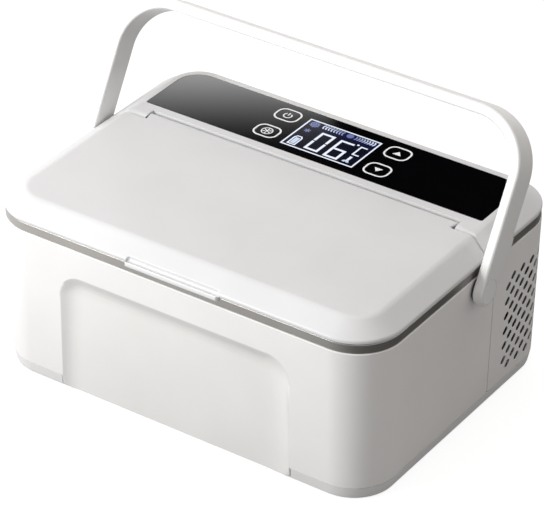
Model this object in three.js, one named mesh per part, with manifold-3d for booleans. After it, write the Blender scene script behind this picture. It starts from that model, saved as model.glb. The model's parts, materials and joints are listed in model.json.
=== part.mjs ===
// Portable cooling case for insulin: an insulated tub with a hinged lid, a control panel behind it,
// a thermoelectric cooler with its fan and battery in the rear, and a carrying handle.
// Millimetres, X along the length, front towards -Y, Z up, origin on the floor under the middle.
import * as THREE from "three";
import { mergeVertices } from "three/addons/utils/BufferGeometryUtils.js";
import Module from "manifold-3d";

const wasm = await Module();
wasm.setup();

// Case
const case_length = 240;
const case_depth = 181.2;
const corner_radius = 26.2;
const foot_proud = 1;
const tray_height = 8.3;
const tub_height = 80.4;
const band_height = 5.1;
const skirt_height = 1.8;
const chamfer_rise = 7.6;
const top_inset = 10.7;
const shoulder_inset = 0.5;
const shoulder_rise = 0.8;
const tray_inset = 3.4;
const draft_inset = 1.6;
const wall = 2.5;
const cover_wall = 2.2;
const fit_gap = 0.3;
const cut_over = 1;
const rear_depth = 65.1;

// Front recess
const recess_width = 144;
const recess_top_margin = 16.5;
const recess_radius = 15;
const recess_depth = 3.9;
const recess_slope = 5;

// Band and rear pillars
const band_width = 5.7;
const band_setback = 0.3;
const pillar_width = 17;
const pillar_slant = 2;

// Feet and base screws
const foot_radius = 7;
const foot_recess = 1.2;
const foot_chamfer = 0.5;
const boss_offset = 16;
const boss_radius = 3.8;
const boss_height = 26;
const rib_thickness = 2;
const screw_radius = 1.5;
const screw_length = 24;
const screw_head_radius = 2.8;
const screw_head_height = 2.2;
const tray_boss_radius = 5;
const counterbore_depth = 4;

// Cold chamber
const foam_side = 15.4;
const foam_floor = 15;
const foam_rear = 12.4;
const liner_wall = 1;
const flange_width = 8;
const collar_thickness = 2;
const probe_radius = 2.5;
const probe_length = 5;
const probe_reach = 1.5;
const probe_x = 40;
const probe_drop = 18;

// Hinge
const hinge_setback = 2.1;
const barrel_radius = 4;
const ear_width = 22.5;
const ear_reach_top = 3.9;
const ear_reach_bottom = 8;
const ear_rounding = 2;
const lid_gap = 0.7;
const hinge_pin_radius = 1.5;
const hinge_pin_length = 20;
const hinge_pin_in_lid = 6;

// Lid
const lip_width = 58.5;
const lip_height = 2.9;
const lip_drop = 1.7;
const lip_proud = 2;
const lip_radius = 1.4;
const lip_root = 1.2;
const lid_liner_thickness = 2;
const plug_depth = 9.2;
const plug_wall = 1.5;
const plug_clearance = 2;
const plug_draft = 1;
const seal_width = 3;
const seal_margin = 1.2;
const magnet_radius = 3;
const magnet_height = 1.5;
const magnet_inset = 11.6;

// Control panel and console
const console_gap_y = 4.3;
const console_rounding = 2.5;
const apron_depth = 5;
const deck_thickness = 2;
const panel_length = 212;
const panel_depth = 41.5;
const panel_thickness = 1.6;
const panel_strip = 5.4;
const panel_front_radius = 1;
const panel_rear_radius = 13;
const lcd_length = 50;
const lcd_depth = 34;
const key_length = 12.5;
const key_depth = 10;
const key_thickness = 1.2;
const key_radius = 3.5;
const key_spread = 35;
const key_row_pitch = 20;
const key_row_shift = 1.15;
const key_travel = 0.5;
const key_stem_radius = 1.8;
const switch_size = 6;
const switch_height = 1.9;
const switch_clearance = 0.1;
const board_end_margin = 6.75;
const board_side_margin = 1;
const board_thickness = 1.6;
const board_drop = 2.6;
const board_post_radius = 2;
const board_post_margin = 3.5;

// Handle
const handle_gap = 1.3;
const handle_thickness = 5.8;
const handle_bar_thickness = 6.2;
const handle_width = 16.25;
const handle_reach = 90.4;
const handle_radius = 31.5;
const handle_lean_degrees = 29.3;
const pivot_setback = 17.5;
const pivot_drop = 7;
const pin_radius = 3;
const pin_head_radius = 4.5;
const pin_head_thickness = 3;
const pin_in_arm = 3.5;
const washer_radius = 7;

// Thermoelectric cooler
const cooler_size = 40;
const cooler_clearance = 1;
const peltier_thickness = 3.7;
const cold_block_reach = 1;
const sink_length = 90;
const sink_headroom = 13.5;
const sink_base = 5;
const sink_depth = 28;
const fin_thickness = 1.5;
const fin_pitch = 5;
const fin_end_margin = 12;
const standoff_radius = 3.5;
const standoff_margin = 6;

// Fan
const fan_size = 50;
const fan_thickness = 15;
const fan_bore = 46;
const fan_corner_radius = 3;
const fan_clearance = 7.5;
const fan_base_radius = 11;
const fan_base_thickness = 2;
const fan_strut_width = 3;
const rotor_clearance = 1;
const rotor_hub_radius = 10;
const blade_count = 7;
const blade_thickness = 1.2;
const blade_pitch_degrees = 38;
const blade_root = 2;
const pedestal_length = 33;
const pedestal_height = 18.2;

// Vent slots in the two side walls
const vent_front_margin = 15.4;
const vent_rear_margin = 16;
const vent_top_margin = 19.4;
const vent_bottom_margin = 4;
const vent_pitch_y = 9.3;
const vent_pitch_z = 4.65;
const slot_length = 4.8;
const slot_width = 2.9;
const slot_tilt_degrees = 40;

// Battery
const cell_radius = 9.2;
const cell_length = 65;
const holder_wall = 2;
const holder_wall_height = 12;
const holder_side_margin = 3.1;
const holder_rear_margin = 2.5;

// Power board, socket and its cover
const power_length = 20;
const power_depth = 45;
const power_post_height = 2.2;
const power_post_depth = 4;
const port_margin = 1.6;
const board_margin = 1;
const socket_width = 9;
const socket_depth = 12;
const socket_height = 11;
const socket_bore_radius = 3.2;
const socket_bore_depth = 9;
const port_radius = 4.5;
const cover_length = 14;
const cover_height = 11;
const cover_radius = 3;
const cover_proud = 2;
const cover_plug_radius = 3.6;

// Steps of the curves
const corner_steps = 7;
const small_steps = 4;
const round_steps = 20;
const pin_steps = 12;
const slot_end_steps = 2;

// Heights and planes that follow from the driving sizes
const half_length = case_length / 2;
const half_depth = case_depth / 2;
const seam_y = half_depth - rear_depth;
const hinge_y = seam_y - hinge_setback;
const pivot_y = seam_y - pivot_setback;
const tray_bottom = foot_proud;
const tray_top = tray_bottom + tray_height;
const tub_bottom = tray_top + fit_gap;
const tub_top = tub_bottom + tub_height;
const band_bottom = tub_top + fit_gap;
const band_top = band_bottom + band_height;
const cover_bottom = band_top + fit_gap;
const skirt_top = cover_bottom + skirt_height;
const cover_top = skirt_top + chamfer_rise;
const tray_floor = tray_bottom + wall;
const foam_bottom = tray_floor + fit_gap;
const foam_inset = wall + fit_gap;
const liner_inset = foam_inset + foam_side + fit_gap;
const mouth_inset = liner_inset + liner_wall;
const liner_bottom = foam_bottom + foam_floor + fit_gap;
const liner_top = tub_top;
const foam_top = liner_top - liner_wall - fit_gap;
const bulkhead_front = seam_y - wall;
const foam_rear_y = bulkhead_front - fit_gap;
const liner_rear_y = foam_rear_y - foam_rear - fit_gap;
const mouth_rear_y = liner_rear_y - liner_wall;
const collar_top = band_bottom + collar_thickness;
const collar_inset = band_setback + band_width + fit_gap;
const housing_front = seam_y + fit_gap;
const console_front = hinge_y + console_gap_y;
const hinge_z = cover_top - barrel_radius;
const ear_inner = half_length - ear_width;
const panel_bottom = cover_top - panel_thickness;
const pocket_floor = panel_bottom - fit_gap;
const deck_bottom = pocket_floor - deck_thickness;
const board_top = deck_bottom - board_drop;
const board_bottom = board_top - board_thickness;
const board_length = 2 * (key_spread + key_length / 2 + board_end_margin);
const board_depth = lcd_depth + 2 * board_side_margin;
const panel_front = console_front + panel_strip;
const panel_rear = panel_front + panel_depth;
const panel_middle = (panel_front + panel_rear) / 2;
const pivot_z = tub_top - pivot_drop;

const plastic = (color, roughness) => new THREE.MeshStandardMaterial({ color, roughness, metalness: 0 });
const metal = (color, roughness) => new THREE.MeshStandardMaterial({ color, roughness, metalness: 1 });
const finishes = {
  white_case: plastic(0xe6e6e5, 0.45),
  white_lid: plastic(0xe2e2e1, 0.4),
  white_handle: plastic(0xececeb, 0.35),
  inner_white: plastic(0xdddddb, 0.5),
  grey_band: plastic(0x9a9a98, 0.6),
  panel_glass: plastic(0x0b0c0f, 0.08),
  key_face: plastic(0x101114, 0.25),
  lcd: plastic(0x0c1230, 0.2),
  foam: plastic(0xf2efe6, 0.9),
  liner: metal(0xb9bcbf, 0.35),
  rubber: plastic(0x2b2b2c, 0.8),
  steel: metal(0x9b9da0, 0.35),
  heat_sink: metal(0xa9acb0, 0.45),
  ceramic: plastic(0xf0efe9, 0.5),
  black_plastic: plastic(0x18191b, 0.5),
  board: plastic(0x1d4a2c, 0.5),
  cell_wrap: plastic(0x3a6f9a, 0.4),
};

// Outlines are lists of points, counterclockwise

function roundedOutline(x0, y0, x1, y1, radii, steps = corner_steps) {
  const [front_left, front_right, rear_right, rear_left] = Array.isArray(radii) ? radii : Array(4).fill(radii);
  const corners = [
    [x0 + front_left, y0 + front_left, front_left, Math.PI],
    [x1 - front_right, y0 + front_right, front_right, 1.5 * Math.PI],
    [x1 - rear_right, y1 - rear_right, rear_right, 0],
    [x0 + rear_left, y1 - rear_left, rear_left, 0.5 * Math.PI],
  ];
  return corners.flatMap(([x, y, radius, start]) => arc(x, y, radius, start, start + Math.PI / 2, steps));
}

function arc(x, y, radius, start, end, steps = small_steps) {
  const points = [];
  for (let i = 0; i <= steps; i++) {
    const angle = THREE.MathUtils.lerp(start, end, i / steps);
    points.push(new THREE.Vector2(x + radius * Math.cos(angle), y + radius * Math.sin(angle)));
  }
  return points;
}

function circle(radius, x = 0, y = 0, steps = round_steps) {
  return arc(x, y, radius, 0, 2 * Math.PI, steps).slice(0, steps);
}

function polygon(...pairs) {
  return pairs.map(([x, y]) => new THREE.Vector2(x, y));
}

// Solids

function solid(geometry) {
  const bare = geometry.index ? geometry.toNonIndexed() : geometry.clone();
  bare.deleteAttribute("normal");
  bare.deleteAttribute("uv");
  const merged = mergeVertices(bare);
  const corners = merged.index.array;
  const faces = [];
  for (let i = 0; i < corners.length; i += 3) {
    const [a, b, c] = corners.slice(i, i + 3);
    if (a !== b && b !== c && c !== a) faces.push(a, b, c);
  }
  const vertProperties = merged.attributes.position.array;
  return new wasm.Manifold(new wasm.Mesh({ numProp: 3, vertProperties, triVerts: new Uint32Array(faces) }));
}

function extruded(outlines, depth) {
  const shapes = outlines.map((points) => new THREE.Shape(points));
  return new THREE.ExtrudeGeometry(shapes, { depth, bevelEnabled: false });
}

const manyShapes = (outline) => (Array.isArray(outline[0]) ? outline : [outline]);

// An outline in X and Y between two heights
function alongZ(outline, z0, z1) {
  return solid(extruded(manyShapes(outline), z1 - z0).translate(0, 0, z0));
}

// An outline in Y and Z between two planes across X
function alongX(outline, x0, x1) {
  const turn = new THREE.Matrix4().makeBasis(
    new THREE.Vector3(0, 1, 0), new THREE.Vector3(0, 0, 1), new THREE.Vector3(1, 0, 0));
  return solid(extruded(manyShapes(outline), x1 - x0).applyMatrix4(turn).translate(x0, 0, 0));
}

// An outline in X and Z between two planes across Y
function alongY(outline, y0, y1) {
  const turn = new THREE.Matrix4().makeBasis(
    new THREE.Vector3(1, 0, 0), new THREE.Vector3(0, 0, 1), new THREE.Vector3(0, -1, 0));
  return solid(extruded(manyShapes(outline), y1 - y0).applyMatrix4(turn).translate(0, y1, 0));
}

function block(x0, x1, y0, y1, z0, z1) {
  const box = new THREE.BoxGeometry(x1 - x0, y1 - y0, z1 - z0);
  return solid(box.translate((x0 + x1) / 2, (y0 + y1) / 2, (z0 + z1) / 2));
}

// A closed solid through level outlines of equally many points
function loftGeometry(levels) {
  const count = levels[0].points.length;
  const positions = levels.flatMap(({ points, z }) => points.flatMap((p) => [p.x, p.y, z]));
  const faces = [];
  for (let level = 0; level < levels.length - 1; level++)
    for (let i = 0; i < count; i++) {
      const here = level * count + i;
      const next = level * count + ((i + 1) % count);
      faces.push(here, next, next + count, here, next + count, here + count);
    }
  const last = (levels.length - 1) * count;
  for (const [a, b, c] of THREE.ShapeUtils.triangulateShape(levels[0].points, []))
    faces.push(a, c, b, last + a, last + b, last + c);
  const geometry = new THREE.BufferGeometry();
  geometry.setAttribute("position", new THREE.Float32BufferAttribute(positions, 3));
  geometry.setIndex(faces);
  return geometry;
}

// A turned solid round the Z axis, its profile given as radius and height from bottom to top
function turned(profile, steps = round_steps) {
  return new THREE.LatheGeometry(polygon(...profile), steps).rotateX(Math.PI / 2);
}

const cut = (body, ...tools) => tools.reduce((rest, tool) => rest.subtract(tool), body);
const join = (first, ...others) => others.reduce((sum, other) => sum.add(other), first);

// The case's outline in plan, drawn in from its widest by an inset
function caseOutline(inset) {
  const radius = corner_radius - inset;
  return roundedOutline(inset - half_length, inset - half_depth, half_length - inset, half_depth - inset, radius);
}

function caseSolid(...levels) {
  return solid(loftGeometry(levels.map(([z, inset]) => ({ z, points: caseOutline(inset) }))));
}

// How far the outer wall is drawn in at a height
function insetAt(z) {
  if (z < tray_top) return THREE.MathUtils.mapLinear(z, tray_bottom, tray_top, tray_inset, draft_inset);
  if (z < tub_top) return THREE.MathUtils.mapLinear(z, tray_top, tub_top, draft_inset, 0);
  return 0;
}

// Everything in front of a plane across Y, or behind it
const infront = (y) => block(-case_length, case_length, -case_depth, y, -case_length, case_length);
const behind = (y) => block(-case_length, case_length, y, case_depth, -case_length, case_length);
const between = (z0, z1) => block(-case_length, case_length, -case_depth, case_depth, z0, z1);

const assembly = new THREE.Group();

function addPiece(name, body, material, parent = assembly) {
  const shape = body.getMesh();
  const geometry = new THREE.BufferGeometry();
  geometry.setAttribute("position", new THREE.BufferAttribute(shape.vertProperties, shape.numProp));
  geometry.setIndex(new THREE.BufferAttribute(shape.triVerts, 1));
  const faceted = geometry.toNonIndexed();
  faceted.computeVertexNormals();
  const mesh = new THREE.Mesh(faceted, material);
  mesh.name = name;
  parent.add(mesh);
  return mesh;
}

// The four corners of the case, each with the middle of its rounding and the place of its screw
const corners = [
  { name: "front_left", x: -1, y: -1 },
  { name: "front_right", x: 1, y: -1 },
  { name: "rear_right", x: 1, y: 1 },
  { name: "rear_left", x: -1, y: 1 },
].map(({ name, x, y }) => {
  const centre_x = x * (half_length - corner_radius);
  const centre_y = y * (half_depth - corner_radius);
  const step = boss_offset * Math.SQRT1_2;
  const angle = Math.atan2(y, x);
  return { name, y, centre_x, centre_y, angle, screw_x: centre_x + x * step, screw_y: centre_y + y * step };
});

// The arched recess of the front wall, grown by a margin that also sets it deeper
function recessSolid(grown) {
  const top = tub_top - recess_top_margin;
  const arch = (margin) => roundedOutline(
    -recess_width / 2 - margin, tray_bottom - tub_height, recess_width / 2 + margin, top + margin,
    [recess_radius, recess_radius, recess_radius + margin, recess_radius + margin]);
  const slope = recess_slope / recess_depth;
  const flare = slope * cut_over;
  const levels = [
    { z: half_depth - recess_depth - grown, points: arch(grown - recess_slope - slope * grown) },
    { z: half_depth + cut_over, points: arch(grown + flare) },
  ];
  return solid(loftGeometry(levels).rotateX(Math.PI / 2));
}

// Bosses for the base screws, each with a rib to its corner of the wall
function cornerBoss({ centre_x, centre_y, angle, screw_x, screw_y }, grown) {
  const top = tub_bottom + boss_height + grown;
  const reach = corner_radius - insetAt(tub_bottom) - wall / 2;
  const rib = new THREE.BoxGeometry(reach - boss_offset, rib_thickness + 2 * grown, top - tub_bottom)
    .translate((reach + boss_offset) / 2, 0, (top + tub_bottom) / 2)
    .rotateZ(angle)
    .translate(centre_x, centre_y, 0);
  return join(alongZ(circle(boss_radius + grown, screw_x, screw_y), tub_bottom, top), solid(rib));
}

const screwHole = ({ screw_x, screw_y }) => alongZ(
  circle(screw_radius + fit_gap, screw_x, screw_y, pin_steps),
  tray_bottom - cut_over, tub_bottom + boss_height - wall);

// Places of the works in the rear, from the bulkhead, the walls and the screw bosses
const rear_inner_y = half_depth - insetAt(tray_floor) - wall;
const boss_side = corners[1].screw_x - tray_boss_radius;
const fan_bottom = tray_floor + pedestal_height + fit_gap;
const fan_y = (housing_front + rear_inner_y) / 2;
const fan_z = fan_bottom + fan_size / 2;
const port_x = boss_side - port_margin - socket_width / 2;
const power_right = port_x + socket_width / 2 + board_margin;
const power_left = power_right - power_length;
const fan_right = power_left - fan_clearance;
const fan_left = fan_right - fan_thickness;
const power_rear_y = rear_inner_y - fit_gap;
const power_front_y = power_rear_y - power_depth;
const power_bottom = tray_floor + power_post_height + fit_gap;
const power_top = power_bottom + board_thickness;
const socket_low = power_top + fit_gap;
const port_z = socket_low + socket_height / 2;
const holder_floor = tray_floor + fit_gap;
const holder_left = holder_side_margin - boss_side;
const holder_rear_y = rear_inner_y - holder_rear_margin;
const cell_pitch = 2 * cell_radius + fit_gap;
const rear_cell_y = holder_rear_y - holder_wall - fit_gap - cell_radius;
const holder_front_y = rear_cell_y - cell_pitch - cell_radius - fit_gap - holder_wall;
const cell_z = holder_floor + holder_wall + fit_gap + cell_radius;
const sink_low = cell_z + cell_radius + cooler_clearance;
const sink_high = board_bottom - sink_headroom;
const cooler_height = (sink_low + sink_high) / 2;

// Base tray with its screw bosses, the fan's pedestal and the power board's posts

function makeTray() {
  const outer = caseSolid([tray_bottom, tray_inset], [tray_top, draft_inset]);
  const hollow = caseSolid(
    [tray_floor, insetAt(tray_floor) + wall], [tray_top, draft_inset + wall],
    [tray_top + cut_over, draft_inset + wall]);
  const inner_half = half_length - insetAt(tray_floor) - wall;
  const rib = block(-inner_half, inner_half, bulkhead_front, seam_y, tray_floor - cut_over, tray_top);
  const pedestal = block(
    fan_left, fan_right, fan_y - pedestal_length / 2, fan_y + pedestal_length / 2,
    tray_floor - cut_over, fan_bottom - fit_gap);
  const post_top = tray_floor + power_post_height;
  const posts = [power_front_y, power_rear_y - power_post_depth].map((y) => block(
    power_left, power_right, y, y + power_post_depth, tray_floor - cut_over, post_top));
  const bosses = corners.map(({ screw_x, screw_y }) => alongZ(
    circle(tray_boss_radius, screw_x, screw_y), tray_bottom, tray_top).intersect(outer));
  const holes = corners.flatMap((corner) => [
    alongZ(circle(screw_head_radius + fit_gap, corner.screw_x, corner.screw_y),
      tray_bottom - cut_over, tray_bottom + counterbore_depth),
    screwHole(corner),
    alongZ(circle(foot_radius + fit_gap, corner.centre_x, corner.centre_y),
      tray_bottom - cut_over, tray_bottom + foot_recess),
  ]);
  const tray = join(cut(outer, hollow), rib, pedestal, ...posts, ...bosses);
  return cut(tray, ...holes, recessSolid(wall + fit_gap));
}
addPiece("base_tray", makeTray(), finishes.white_case);

for (const { name, centre_x, centre_y } of corners) {
  const foot_height = tray_bottom + foot_recess - fit_gap;
  const foot = turned([
    [0, 0], [foot_radius - foot_chamfer, 0], [foot_radius, foot_chamfer], [foot_radius, foot_height],
    [0, foot_height]]);
  addPiece(`foot_${name}`, solid(foot), finishes.rubber).position.set(centre_x, centre_y, 0);
}

// A pan head screw that points up, with its head's seat at zero
function screw(length) {
  return solid(turned([
    [0, -screw_head_height], [screw_head_radius, -screw_head_height], [screw_head_radius, 0],
    [screw_radius, 0], [screw_radius, length], [0, length]], pin_steps));
}

for (const { name, screw_x, screw_y } of corners) {
  const seat = tray_bottom + counterbore_depth - fit_gap;
  addPiece(`base_screw_${name}`, screw(screw_length), finishes.steel).position.set(screw_x, screw_y, seat);
}

// Front tub with its recess, bulkhead, pivot holes and the cooler's standoffs
const cold_side_y = liner_rear_y + fit_gap;
const cold_block_rear = bulkhead_front + cold_block_reach;
const peltier_y = cold_block_rear + fit_gap;
const sink_front = peltier_y + peltier_thickness + fit_gap;
const pilot_front = seam_y - wall / 2;
const standoff_x = sink_length / 2 - standoff_margin;
const cooler_low = cooler_height - cooler_size / 2;
const cooler_high = cooler_height + cooler_size / 2;

function coolerWindow(y0, y1) {
  const reach = cooler_size / 2 + fit_gap;
  return block(-reach, reach, y0, y1, cooler_low - fit_gap, cooler_high + fit_gap);
}

function makeTub() {
  const full = caseSolid([tray_bottom, tray_inset], [tray_top, draft_inset], [tub_top, 0]);
  const apron_low = full.intersect(recessSolid(wall));
  const outer = join(full.intersect(between(tub_bottom, tub_top)), apron_low).intersect(infront(seam_y));
  const hollow = caseSolid(
    [tray_bottom - cut_over, insetAt(tray_top) + wall], [tray_top, insetAt(tray_top) + wall],
    [tub_top, wall], [tub_top + cut_over, wall]).intersect(infront(bulkhead_front));
  const shell = cut(outer, cut(hollow, recessSolid(wall)), recessSolid(0));
  const bosses = corners.filter(({ y }) => y < 0).map((corner) => cornerBoss(corner, 0));
  const standoffs = [-standoff_x, standoff_x].map((x) => alongY(
    circle(standoff_radius, x, cooler_height), bulkhead_front, sink_front - fit_gap));
  const pilots = [-standoff_x, standoff_x].map((x) => alongY(
    circle(screw_radius + fit_gap, x, cooler_height, pin_steps), pilot_front, sink_front));
  const pivots = alongX(circle(pin_radius + fit_gap, pivot_y, pivot_z), -case_length, case_length);
  return cut(join(shell, ...bosses, ...standoffs),
    ...pilots, pivots, coolerWindow(bulkhead_front - cut_over, seam_y + cut_over), ...corners.map(screwHole));
}
addPiece("front_tub", makeTub(), finishes.white_case);

// Rear housing: the sides and back round the works, with a pillar on each side up to the cover
const pillar_rear = housing_front + pillar_width;

function slotOutline(y, z) {
  const tilt = THREE.MathUtils.degToRad(slot_tilt_degrees);
  const reach = (slot_length - slot_width) / 2;
  return [0, Math.PI].flatMap((turn) => {
    const start = tilt + turn - Math.PI / 2;
    return arc(y + reach * Math.cos(tilt + turn), z + reach * Math.sin(tilt + turn),
      slot_width / 2, start, start + Math.PI, slot_end_steps);
  });
}

function ventSlots() {
  const slots = [];
  const first_y = seam_y + vent_front_margin;
  const top_z = tub_top - vent_top_margin;
  for (let row = 0; top_z - row * vent_pitch_z > tub_bottom + vent_bottom_margin; row++) {
    const row_start = first_y + (row % 2 ? 0 : vent_pitch_y / 2);
    for (let y = row_start; y < half_depth - vent_rear_margin; y += vent_pitch_y)
      slots.push(slotOutline(y, top_z - row * vent_pitch_z));
  }
  return slots;
}

function makeHousing() {
  const outer = caseSolid([tub_bottom, insetAt(tub_bottom)], [tub_top, 0], [band_top, 0]);
  const region = alongX(polygon(
    [housing_front, 0], [case_depth, 0], [case_depth, tub_top], [pillar_rear - pillar_slant, tub_top],
    [pillar_rear, band_top], [pillar_rear, band_top + cut_over], [housing_front, band_top + cut_over]),
    -case_length, case_length);
  const hollow = caseSolid(
    [tub_bottom - cut_over, insetAt(tub_bottom) + wall], [tub_top, wall], [band_top + cut_over, wall]);
  const bosses = corners.filter(({ y }) => y > 0).map((corner) => cornerBoss(corner, 0));
  const slots = ventSlots();
  const slot_depth = wall + insetAt(tub_bottom) + cut_over;
  const vents = [
    alongX(slots, half_length - slot_depth, half_length + cut_over),
    alongX(slots, -half_length - cut_over, slot_depth - half_length),
  ];
  const port = alongY(circle(port_radius, port_x, port_z), half_depth - corner_radius, case_depth);
  const shell = join(cut(outer.intersect(region), hollow), ...bosses);
  return cut(shell, ...vents, port, ...corners.map(screwHole));
}
addPiece("rear_housing", makeHousing(), finishes.white_case);

// The grey band under the lid, and its rear run behind the pillars
function bandRing() {
  const outer = alongZ(caseOutline(band_setback), band_bottom, band_top);
  const inner = alongZ(caseOutline(band_setback + band_width), band_bottom - cut_over, band_top + cut_over);
  return cut(outer, inner);
}
addPiece("rim_band", bandRing().intersect(infront(seam_y)), finishes.grey_band);

const band_region = alongX(polygon(
  [pillar_rear - pillar_slant + fit_gap, band_bottom - cut_over], [case_depth, band_bottom - cut_over],
  [case_depth, band_top + cut_over], [pillar_rear + fit_gap, band_top + cut_over],
  [pillar_rear + fit_gap, band_top]), -case_length, case_length);
addPiece("rear_band", bandRing().intersect(band_region), finishes.grey_band);

// Cold chamber: metal liner in a foam jacket, with a collar over both
const liner_radius = corner_radius - liner_inset;

function linerOutline(grown) {
  const x = half_length - liner_inset + grown;
  const front = half_depth - liner_inset + grown;
  return roundedOutline(-x, -front, x, liner_rear_y + grown, liner_radius + grown);
}

function makeLiner() {
  const pan = alongZ(linerOutline(0), liner_bottom, liner_top);
  const flange = alongZ(linerOutline(flange_width), liner_top - liner_wall, liner_top);
  const hollow = alongZ(linerOutline(-liner_wall), liner_bottom + liner_wall, liner_top + cut_over);
  const probe = alongY(circle(probe_radius + fit_gap, probe_x, probe_z), mouth_rear_y - cut_over, seam_y);
  return cut(join(pan, flange), hollow, probe);
}
const probe_z = liner_top - probe_drop;
addPiece("chamber_liner", makeLiner(), finishes.liner);

function makeFoam() {
  const tray_gap = wall + 2 * fit_gap;
  const jacket = caseSolid(
    [foam_bottom, insetAt(foam_bottom) + tray_gap], [tray_top, insetAt(tray_top) + tray_gap],
    [foam_top, foam_inset + fit_gap]).intersect(infront(foam_rear_y));
  const pocket = alongZ(linerOutline(fit_gap), liner_bottom - fit_gap, foam_top + cut_over);
  const notches = corners.filter(({ y }) => y < 0).map((corner) => cornerBoss(corner, fit_gap));
  const tray_notches = corners.map(({ screw_x, screw_y }) => alongZ(
    circle(tray_boss_radius + fit_gap, screw_x, screw_y), tray_bottom, tub_bottom + fit_gap));
  const pin_reach = half_length - wall - fit_gap - pin_head_thickness - 2 * fit_gap;
  const pins = [[-case_length, -pin_reach], [pin_reach, case_length]].map((span) => alongX(
    circle(pin_head_radius + fit_gap, pivot_y, pivot_z), ...span));
  const probe = alongY(circle(probe_radius + fit_gap, probe_x, probe_z), mouth_rear_y, probe_end_y + fit_gap);
  const magnet = alongZ(circle(magnet_radius + fit_gap, 0, magnet_y), foam_top - magnet_height - fit_gap, tub_top);
  return cut(jacket, pocket, recessSolid(wall + fit_gap), coolerWindow(mouth_rear_y, seam_y),
    ...notches, ...tray_notches, ...pins, probe, magnet);
}
const probe_end_y = mouth_rear_y - probe_reach + probe_length;
const magnet_y = magnet_inset - half_depth;
addPiece("chamber_foam", makeFoam(), finishes.foam);

const probe_body = alongY(circle(probe_radius, probe_x, probe_z, pin_steps), mouth_rear_y - probe_reach, probe_end_y);
addPiece("temperature_probe", probe_body, finishes.steel);

function makeCollar() {
  const front_edge = half_depth - collar_inset;
  const side = half_length - collar_inset;
  const radius = corner_radius - collar_inset;
  const plate = alongZ(
    roundedOutline(-side, -front_edge, side, console_front - fit_gap, [radius, radius, wall, wall]),
    band_bottom, collar_top);
  return cut(plate, alongZ(linerOutline(-liner_wall), band_bottom - cut_over, collar_top + cut_over));
}
addPiece("rim_collar", makeCollar(), finishes.inner_white);

const keeper = alongZ(circle(magnet_radius, 0, magnet_y, pin_steps), foam_top - magnet_height, foam_top);
addPiece("rim_magnet", keeper, finishes.steel);

// The cover's outer form, shared by the lid and the console, and the hollow that leaves its walls
function coverSolid() {
  return caseSolid(
    [cover_bottom, 0], [skirt_top - shoulder_rise, 0], [skirt_top, shoulder_inset], [cover_top, top_inset]);
}

function coverHollow(side, top) {
  const run = top_inset - shoulder_inset;
  const slant = Math.hypot(run, chamfer_rise);
  const low = skirt_top + ((side - shoulder_inset) * chamfer_rise - side * slant) / run;
  const high_inset = top_inset + (side * slant - top * run) / chamfer_rise;
  return caseSolid([cover_bottom - cut_over, side], [low, side], [cover_top - top, high_inset]);
}

// The parting line between lid and console seen from the side, set forwards by a gap
const parting = (gap) => [
  [hinge_y - ear_reach_top - gap, cover_top], [hinge_y - ear_reach_bottom - gap, cover_bottom]];
const lid_rear = hinge_y - ear_reach_bottom - lid_gap;
const lid_hollow_rear = lid_rear - cover_wall;

function makeLid() {
  const [high, low] = parting(lid_gap);
  const region = alongX(polygon(
    [-case_depth, cover_bottom - cut_over], [low[0], cover_bottom - cut_over], low, high,
    [high[0], cover_top + cut_over], [-case_depth, cover_top + cut_over]), -case_length, case_length);
  const hollow = coverHollow(cover_wall, cover_wall).intersect(infront(lid_hollow_rear));
  const tongue_end = ear_inner - fit_gap;
  const web_low = hinge_z - barrel_radius / 2;
  const web = block(-tongue_end, tongue_end, lid_hollow_rear, hinge_y, web_low, cover_top);
  const barrel = alongX(circle(barrel_radius, hinge_y, hinge_z), -tongue_end, tongue_end);
  const lip_front = -half_depth - lip_proud;
  const lip_low = cover_bottom - lip_drop;
  const lip = alongY(roundedOutline(
    -lip_width / 2, lip_low, lip_width / 2, lip_low + lip_height, lip_radius, small_steps),
    lip_front, lip_root - half_depth);
  const lip_relief = block(-lip_width, lip_width, -half_depth, 0, lip_low - cut_over, cover_bottom);
  const pins = alongX(circle(hinge_pin_radius + fit_gap, hinge_y, hinge_z, pin_steps),
    -case_length, case_length).subtract(block(
    hinge_pin_in_lid + fit_gap - ear_inner, ear_inner - hinge_pin_in_lid - fit_gap,
    -case_depth, case_depth, -case_length, case_length));
  const shell = cut(coverSolid().intersect(region), hollow);
  return cut(join(shell, web, barrel, cut(lip, lip_relief)), pins);
}
addPiece("lid_shell", makeLid(), finishes.white_lid);

// Lid liner: the white pan that closes the lid from below and plugs the chamber's mouth
const liner_panel_top = cover_bottom + lid_liner_thickness;
const plug_bottom = cover_bottom - plug_depth;

function plugOutline(grown) {
  const x = half_length - mouth_inset - plug_clearance + grown;
  const front = half_depth - mouth_inset - plug_clearance + grown;
  const rear = mouth_rear_y - plug_clearance + grown;
  return roundedOutline(-x, -front, x, rear, liner_radius + grown);
}

function makeLidLiner() {
  const inset = cover_wall + fit_gap;
  const panel = alongZ(caseOutline(inset), cover_bottom, liner_panel_top)
    .intersect(infront(lid_hollow_rear - fit_gap))
    .intersect(coverHollow(inset, cover_wall));
  const plug = solid(loftGeometry([
    { z: plug_bottom, points: plugOutline(-plug_draft) },
    { z: cover_bottom + fit_gap, points: plugOutline(0) },
  ]));
  const hollow = solid(loftGeometry([
    { z: plug_bottom + plug_wall, points: plugOutline(-plug_draft - plug_wall) },
    { z: liner_panel_top + cut_over, points: plugOutline(-plug_wall) },
  ]));
  return cut(join(panel, plug), hollow);
}
addPiece("lid_liner", makeLidLiner(), finishes.inner_white);

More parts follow.
